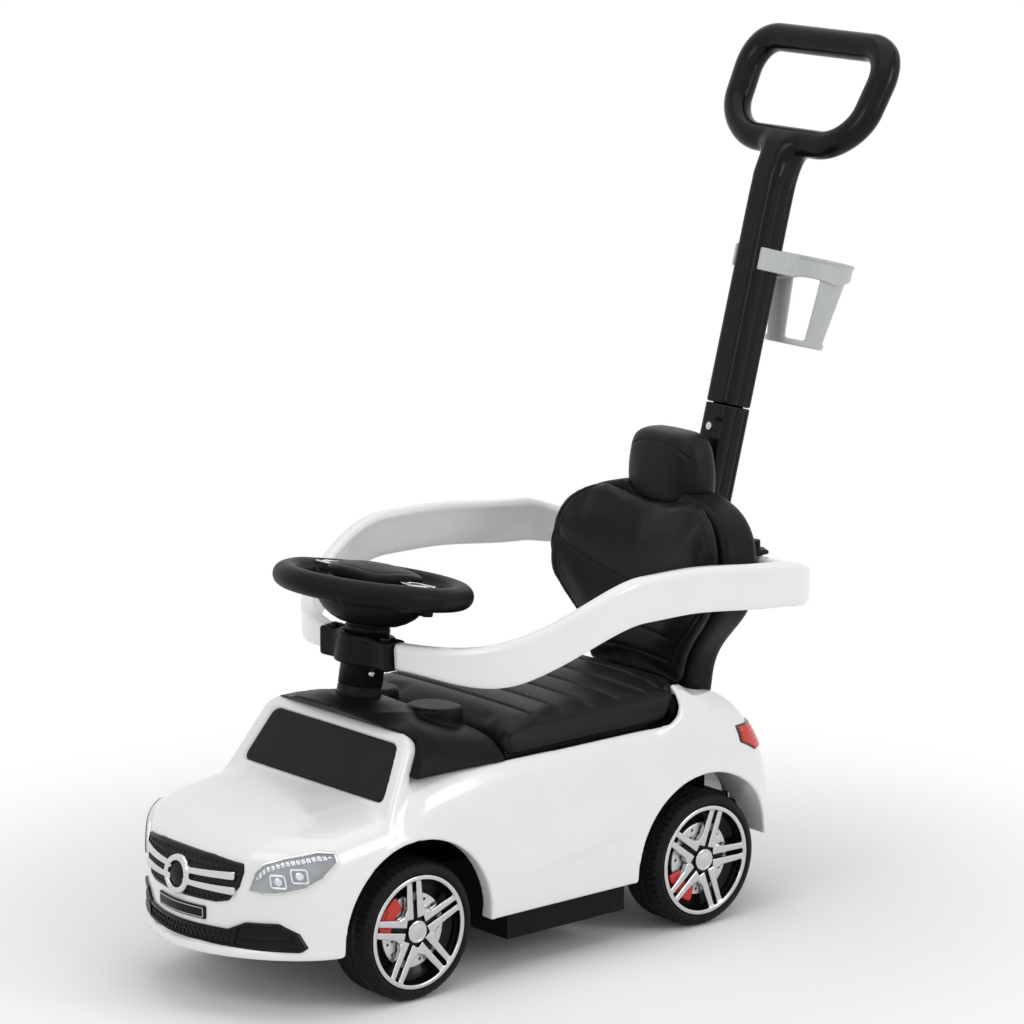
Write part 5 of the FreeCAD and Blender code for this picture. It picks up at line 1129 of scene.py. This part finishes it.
def swelled(name, low, high, step, distance, pressure, cap_mm, held, local=CAR):
    """A pad blown up as cloth from its cut form, with each point's travel capped."""
    obj = linked(name, grid_mesh(low, high, step, distance, local, name))
    start = spots_of(obj.data)
    group = obj.vertex_groups.new(name="held")
    group.add([int(i) for i in np.nonzero(held(start, normals_of(obj.data)))[0]], 1.0, "REPLACE")
    cloth = obj.modifiers.new("cloth", "CLOTH")
    cloth.settings.quality = 5
    cloth.settings.use_pressure = True
    cloth.settings.uniform_pressure_force = pressure
    cloth.settings.effector_weights.gravity = 0
    cloth.settings.vertex_group_mass = "held"
    cloth.point_cache.frame_start, cloth.point_cache.frame_end = 1, 20
    for moment in range(1, 21):
        bpy.context.scene.frame_set(moment)
    graph = bpy.context.evaluated_depsgraph_get()
    travel = spots_of(obj.evaluated_get(graph).data) - start
    reach = np.linalg.norm(travel, axis=1, keepdims=True)
    travel *= np.minimum(1, cap_mm / 1000 / np.maximum(reach, 1e-9))
    obj.modifiers.clear()
    obj.vertex_groups.clear()
    corners = np.zeros(len(obj.data.loops), dtype=np.int32)
    obj.data.loops.foreach_get("vertex_index", corners)
    set_spots(obj.data, relaxed(start + travel, corners.reshape(-1, 4), 3))
    bpy.context.scene.frame_set(1)
    finer = obj.modifiers.new("finer", "SUBSURF")
    finer.levels = finer.render_levels = 2
    baked(obj)
    return obj


def in_car(spots):
    """From the part's metres to the car's millimetres."""
    moved = np.array(spots) * 1000
    moved[:, 1] -= AXLE_MID_Y
    return moved


def press(obj, depth):
    """Sinks points along their normals by a depth in millimetres worked out from car places and normals."""
    spots, normals = spots_of(obj.data), normals_of(obj.data)
    sink = depth(in_car(spots), normals)
    set_spots(obj.data, spots - normals * sink[:, None] / 1000)


def stitches(name, obj, lines, toward, body, pitch=5.4, length=3.4):
    """Short threads laid along lines on a surface that is met by going toward it."""
    tree = BVHTree.FromObject(obj, bpy.context.evaluated_depsgraph_get())
    rings, quads, count = [], [], 8
    toward = Vector(toward)
    for line in lines:
        marks = [Vector(p) for p in place(line)]
        run = []
        for a, b in zip(marks, marks[1:]):
            steps = max(int((b - a).length / 0.0009), 1)
            run += [a.lerp(b, i / steps) for i in range(steps)]
        hits = [tree.ray_cast(p - toward * 0.08, toward) for p in run]
        hits = [(spot, normal) for spot, normal, _, _ in hits if spot is not None]
        every, span = int(pitch / 0.9), int(length / 0.9)
        for first in range(0, len(hits) - span, every):
            base = len(rings) * count
            course = hits[first:first + span + 1]
            for index, (spot, normal) in enumerate(course):
                share = index / span
                before, after = course[max(index - 1, 0)][0], course[min(index + 1, span)][0]
                ahead = (after - before).normalized()
                across = ahead.cross(normal).normalized()
                radius = 0.00055 * math.sqrt(max(1 - (2 * share - 1) ** 4, 0.02))
                lift = normal * (0.0001 + 0.0003 * math.sin(math.pi * share))
                ring = []
                for turn in range(count):
                    angle = 2 * math.pi * turn / count
                    ring.append(spot + lift + (across * math.cos(angle) + normal * math.sin(angle)) * radius)
                rings.append(ring)
            for i in range(span):
                for a in range(count):
                    b = (a + 1) % count
                    low, high = base + i * count, base + (i + 1) * count
                    quads.append((low + a, low + b, high + b, high + a))
            for end in (0, span):
                ring = [base + end * count + a for a in range(count)]
                quads += [ring[:4], (ring[0], ring[3], ring[4], ring[7]), ring[4:]]
    points = in_car([p for ring in rings for p in ring])
    return dressed(linked(name, quad_mesh(name, points, quads)), "thread", body)


CHANNELS = [-26 + 36 * k for k in range(6)]
SEAT_FOOT, SEAT_TOP, SEAT_HALF, SEAT_FRONT, SEAT_REAR = 219.2, 254.5, 128.4, -69.6, 200


def channel_bow(x):
    return 3.5 * (x / 110) ** 2


def seat_field(x, y, z):
    rear = tongue_half(y) - 5
    half = rear + (SEAT_HALF - rear) * (1 - ease((y - haunch_front(z) + 4) / 4))
    top = z - SEAT_TOP + 4 * (x / 126) ** 2 + 7 * ease((-20 - y) / 60) + 4 * ease((y - 150) / 50)
    d = joined(11, abs(x) - half, top, slab(y, SEAT_FRONT, SEAT_REAR))
    return smax(d, SEAT_FOOT - z, 5)


seat = swelled("seat_pad", (-130, -72, 218), (130, 204, 260), 5.0, seat_field, 4.0, 3.5,
               lambda p, n: p[:, 2] < (SEAT_FOOT + 3) / 1000)


def seat_press(spots, normals):
    x, y, _ = spots.T
    upper = ease((normals[:, 2] - 0.2) / 0.4)
    sink = np.zeros(len(spots))
    for channel in CHANNELS:
        bow = channel + channel_bow(x)
        sink += 1.9 * bell(y - bow, 1.7) + 1.1 * bell(y - bow, 9)
    return sink * upper * ease((120 - abs(x)) / 14)


press(seat, seat_press)
dressed(seat, "black_leather", "seat", ["seat_cushion"])
SEAT_LINES = [[(x, channel + channel_bow(x) + 3.6, 262) for x in np.linspace(-100, 100, 26)]
              for channel in CHANNELS[:5]]
stitches("seat_thread", seat, SEAT_LINES, (0, 0, -1), "seat")


def lid_field(x, y, z):
    half = 122 - (128 - tongue_half(y)) * ease((y - 116) / 8)
    return joined(1.6, abs(x) - half, slab(y, SEAT_FRONT + 2.6, SEAT_REAR - 2), slab(z, 212, 226))


solid("seat_board", (-132, -72, 210), (132, 205, 228), 1.2, lid_field, "black_matte", "seat", ["seat_lid"])

shell = remeshed("backrest_back", "backrest_shell", 0.0026, 4)
dressed(shell, "black_matte", "car", ["backrest_shell"])


def pad_field(x, y, z):
    """The pad over the shell's hollow front, out to its edge."""
    half = curve_at(z, BACK_HALF) - 1.5
    face = -25 * (x / 128) ** 2
    share = np.clip(abs(x) / half, 0, 1)
    crown = 10 + 9 * (1 - share ** 2.6) * ease((z - 2) / 30)
    side = (abs(x) - half) * 0.9
    return joined(7, side, slab(y, face - crown, face + 4), slab(z, 6, 199 - 13 * bell(x, 52)))


pad = swelled("backrest_pad", (-130, -52, 2), (130, 8, 204), 4.4, pad_field, 4.0, 5.0,
              lambda p, n: n[:, 1] > 0.5, BACKREST)


def pad_press(spots, normals):
    x, _, z = BACKREST.local(*spots.T)
    front = ease((-normals[:, 1] - 0.15) / 0.4)
    seam = 100 + 28 * (abs(x) / 105) ** 1.5
    sink = 1.6 * bell(z - seam, 2.0) + 5.0 * bell(z - seam, 17)
    edge = curve_at(z, BACK_HALF) - 13
    sink += 1.6 * bell(abs(x) - edge, 1.7) * ease((z - 16) / 20)
    for low in (34, 58):
        sink += 1.2 * bell(z - low + 8 * (x / 80) ** 2, 2.2) * ease((62 - abs(x)) / 8)
    return sink * front


press(pad, pad_press)
dressed(pad, "black_leather", "car", ["backrest_cushion"])
HEAD_X, HEAD_Y, HEAD_MID_Y = 53, 25.5, 263
HEAD_SIZE = ((399, 0.78), (411, 0.93), (436, 1.0), (462, 0.95), (479, 0.84), (487, 0.72))


def head_field(x, y, z):
    size = curve_at(z, HEAD_SIZE)
    section = rounded(x / (HEAD_X * size), (y - HEAD_MID_Y) / (HEAD_Y * size), 3.4) - 1
    return joined(10, section * 27, slab(z, 401, 485.5))


head = swelled("headrest_pad", (-56, 234, 398), (56, 292, 489), 4.2, head_field, 4.0, 4.0,
               lambda p, n: n[:, 1] > 0.8)


def head_press(spots, normals):
    x, _, z = spots.T
    front = ease((0.5 - normals[:, 1]) / 0.4)
    line = 475 - 12 * (abs(x) / 44) ** 3
    return 1.3 * bell(z - line, 1.3) * front * ease((47 - abs(x)) / 5)


press(head, head_press)
dressed(head, "black_leather", "car", ["headrest_cushion"])


# Hinge brackets and the column's screw
def bracket_field(x, y, z):
    ring = np.hypot(x, y)
    outline = np.minimum(ring - 12, np.maximum(abs(x) - 12, slab(y, -26, 0)))
    plates = joined(1.5, outline, slab(abs(z), 16, 22))
    post = joined(1.2, ring - 6.4, slab(z, 20, 31))
    rib = joined(1.0, abs(x) - 2, slab(y, -26, -4), slab(z, 20, 28 - 0.3 * (y + 26)))
    return smin(plates, smin(post, rib, 1.5), 1.5)


for side_name, side in SIDES:
    solid(f"hinge_bracket_{side_name}", (-14, -28, -24), (14, 14, 33), 0.9, bracket_field, "black_matte",
          local=Frame((side * HINGE[0], *HINGE[1:])))


def screw_field(x, y, z):
    ring = np.hypot(x, y)
    head = joined(0.8, ring - 3.2, z - 1.8 + 0.08 * ring * ring, -1.5 - z)
    cross = union(*[joined(0.2, abs(a) - 0.5, abs(b) - 2.0) for a, b in ((x, y), (y, x))])
    return smax(head, -np.maximum(cross, 0.6 - z), 0.2)


COLUMN_SCREW = COLUMN.out([(21.2, -5.1, 33)])[0]
solid("column_screw", (-4, -4, -2), (4, 4, 3), 0.3, screw_field, "steel", "car", (),
      Spot(COLUMN_SCREW, (0.972, -0.233, 0.042)))


# Camera and studio
camera = linked("camera", bpy.data.cameras.new("camera"))
azimuth, elevation = math.radians(VIEW_AZIMUTH), math.radians(VIEW_ELEVATION)
back = Vector((math.sin(azimuth) * math.cos(elevation), -math.cos(azimuth) * math.cos(elevation),
               math.sin(elevation)))
camera.data.lens = VIEW_LENS
camera.data.sensor_width = 36
camera.data.clip_end = 100
camera.location = Vector(place([VIEW_TARGET])[0]) + back * VIEW_DISTANCE / 1000
camera.rotation_euler = (-back).to_track_quat("-Z", "Y").to_euler()
bpy.context.scene.camera = camera
bpy.context.scene.view_settings.view_transform = "Standard"


def path_mask(tree):
    """1 for what the camera sees, also in gloss and through glass, 0 for the light on the object."""
    path = add_node(tree, "LightPath")
    seen = path.outputs["Is Camera Ray"]
    for ray in ("Is Glossy Ray", "Is Transmission Ray"):
        seen = add_node(tree, "Math", {0: seen, 1: path.outputs[ray]}, operation="MAXIMUM").outputs[0]
    return seen


world = bpy.data.worlds.new("studio")
bpy.context.scene.world = world
world.use_nodes = True
level = add_node(world.node_tree, "MapRange", {"To Min": 0.57, "To Max": 1.0,
                                               "Value": path_mask(world.node_tree)})
feed(world.node_tree, world.node_tree.nodes["Background"],
     {"Color": (1, 1, 1, 1), "Strength": level.outputs["Result"]})

floor_mat = bpy.data.materials.new("floor")
floor_mat.use_nodes = True
tree = floor_mat.node_tree
shader = tree.nodes["Principled BSDF"]
feed(tree, shader, {"Base Color": (0.92, 0.92, 0.92, 1), "Roughness": 0.9, "Specular IOR Level": 0.0})
spot = add_node(tree, "TexCoord").outputs["Object"]
reach = add_node(tree, "VectorMath", {0: spot}, operation="LENGTH").outputs["Value"]
fade = add_node(tree, "MapRange", {"From Min": 0.35, "From Max": 0.85, "Value": reach},
                interpolation_type="SMOOTHSTEP")
share = add_node(tree, "Math", {0: fade.outputs["Result"], 1: path_mask(tree)}, operation="MULTIPLY")
glow = add_node(tree, "Emission")
mix = add_node(tree, "MixShader", {0: share.outputs[0], 1: shader.outputs[0], 2: glow.outputs[0]})
feed(tree, tree.nodes["Material Output"], {"Surface": mix.outputs[0]})
floor_mesh = bpy.data.meshes.new("floor")
floor_mesh.from_pydata([(-30, -30, 0), (30, -30, 0), (30, 30, 0), (-30, 30, 0)], [], [(0, 1, 2, 3)])
floor_mesh.materials.append(floor_mat)
floor = linked("floor", floor_mesh)
floor.location.z = -0.0004


def soft_box(name, spot, width, height, watts, target=(0, 0, 0.25)):
    light = bpy.data.lights.new(name, "AREA")
    light.shape, light.size, light.size_y, light.energy = "RECTANGLE", width, height, watts
    obj = linked(name, light)
    obj.location = spot
    obj.rotation_euler = (Vector(target) - Vector(spot)).to_track_quat("-Z", "Y").to_euler()


soft_box("overhead", (0.2, 0.1, 3.0), 3.0, 3.0, 25)
soft_box("key", (0.6, -2.7, 2.0), 1.3, 1.6, 17)
soft_box("side", (2.8, 1.2, 1.5), 0.9, 1.4, 21)
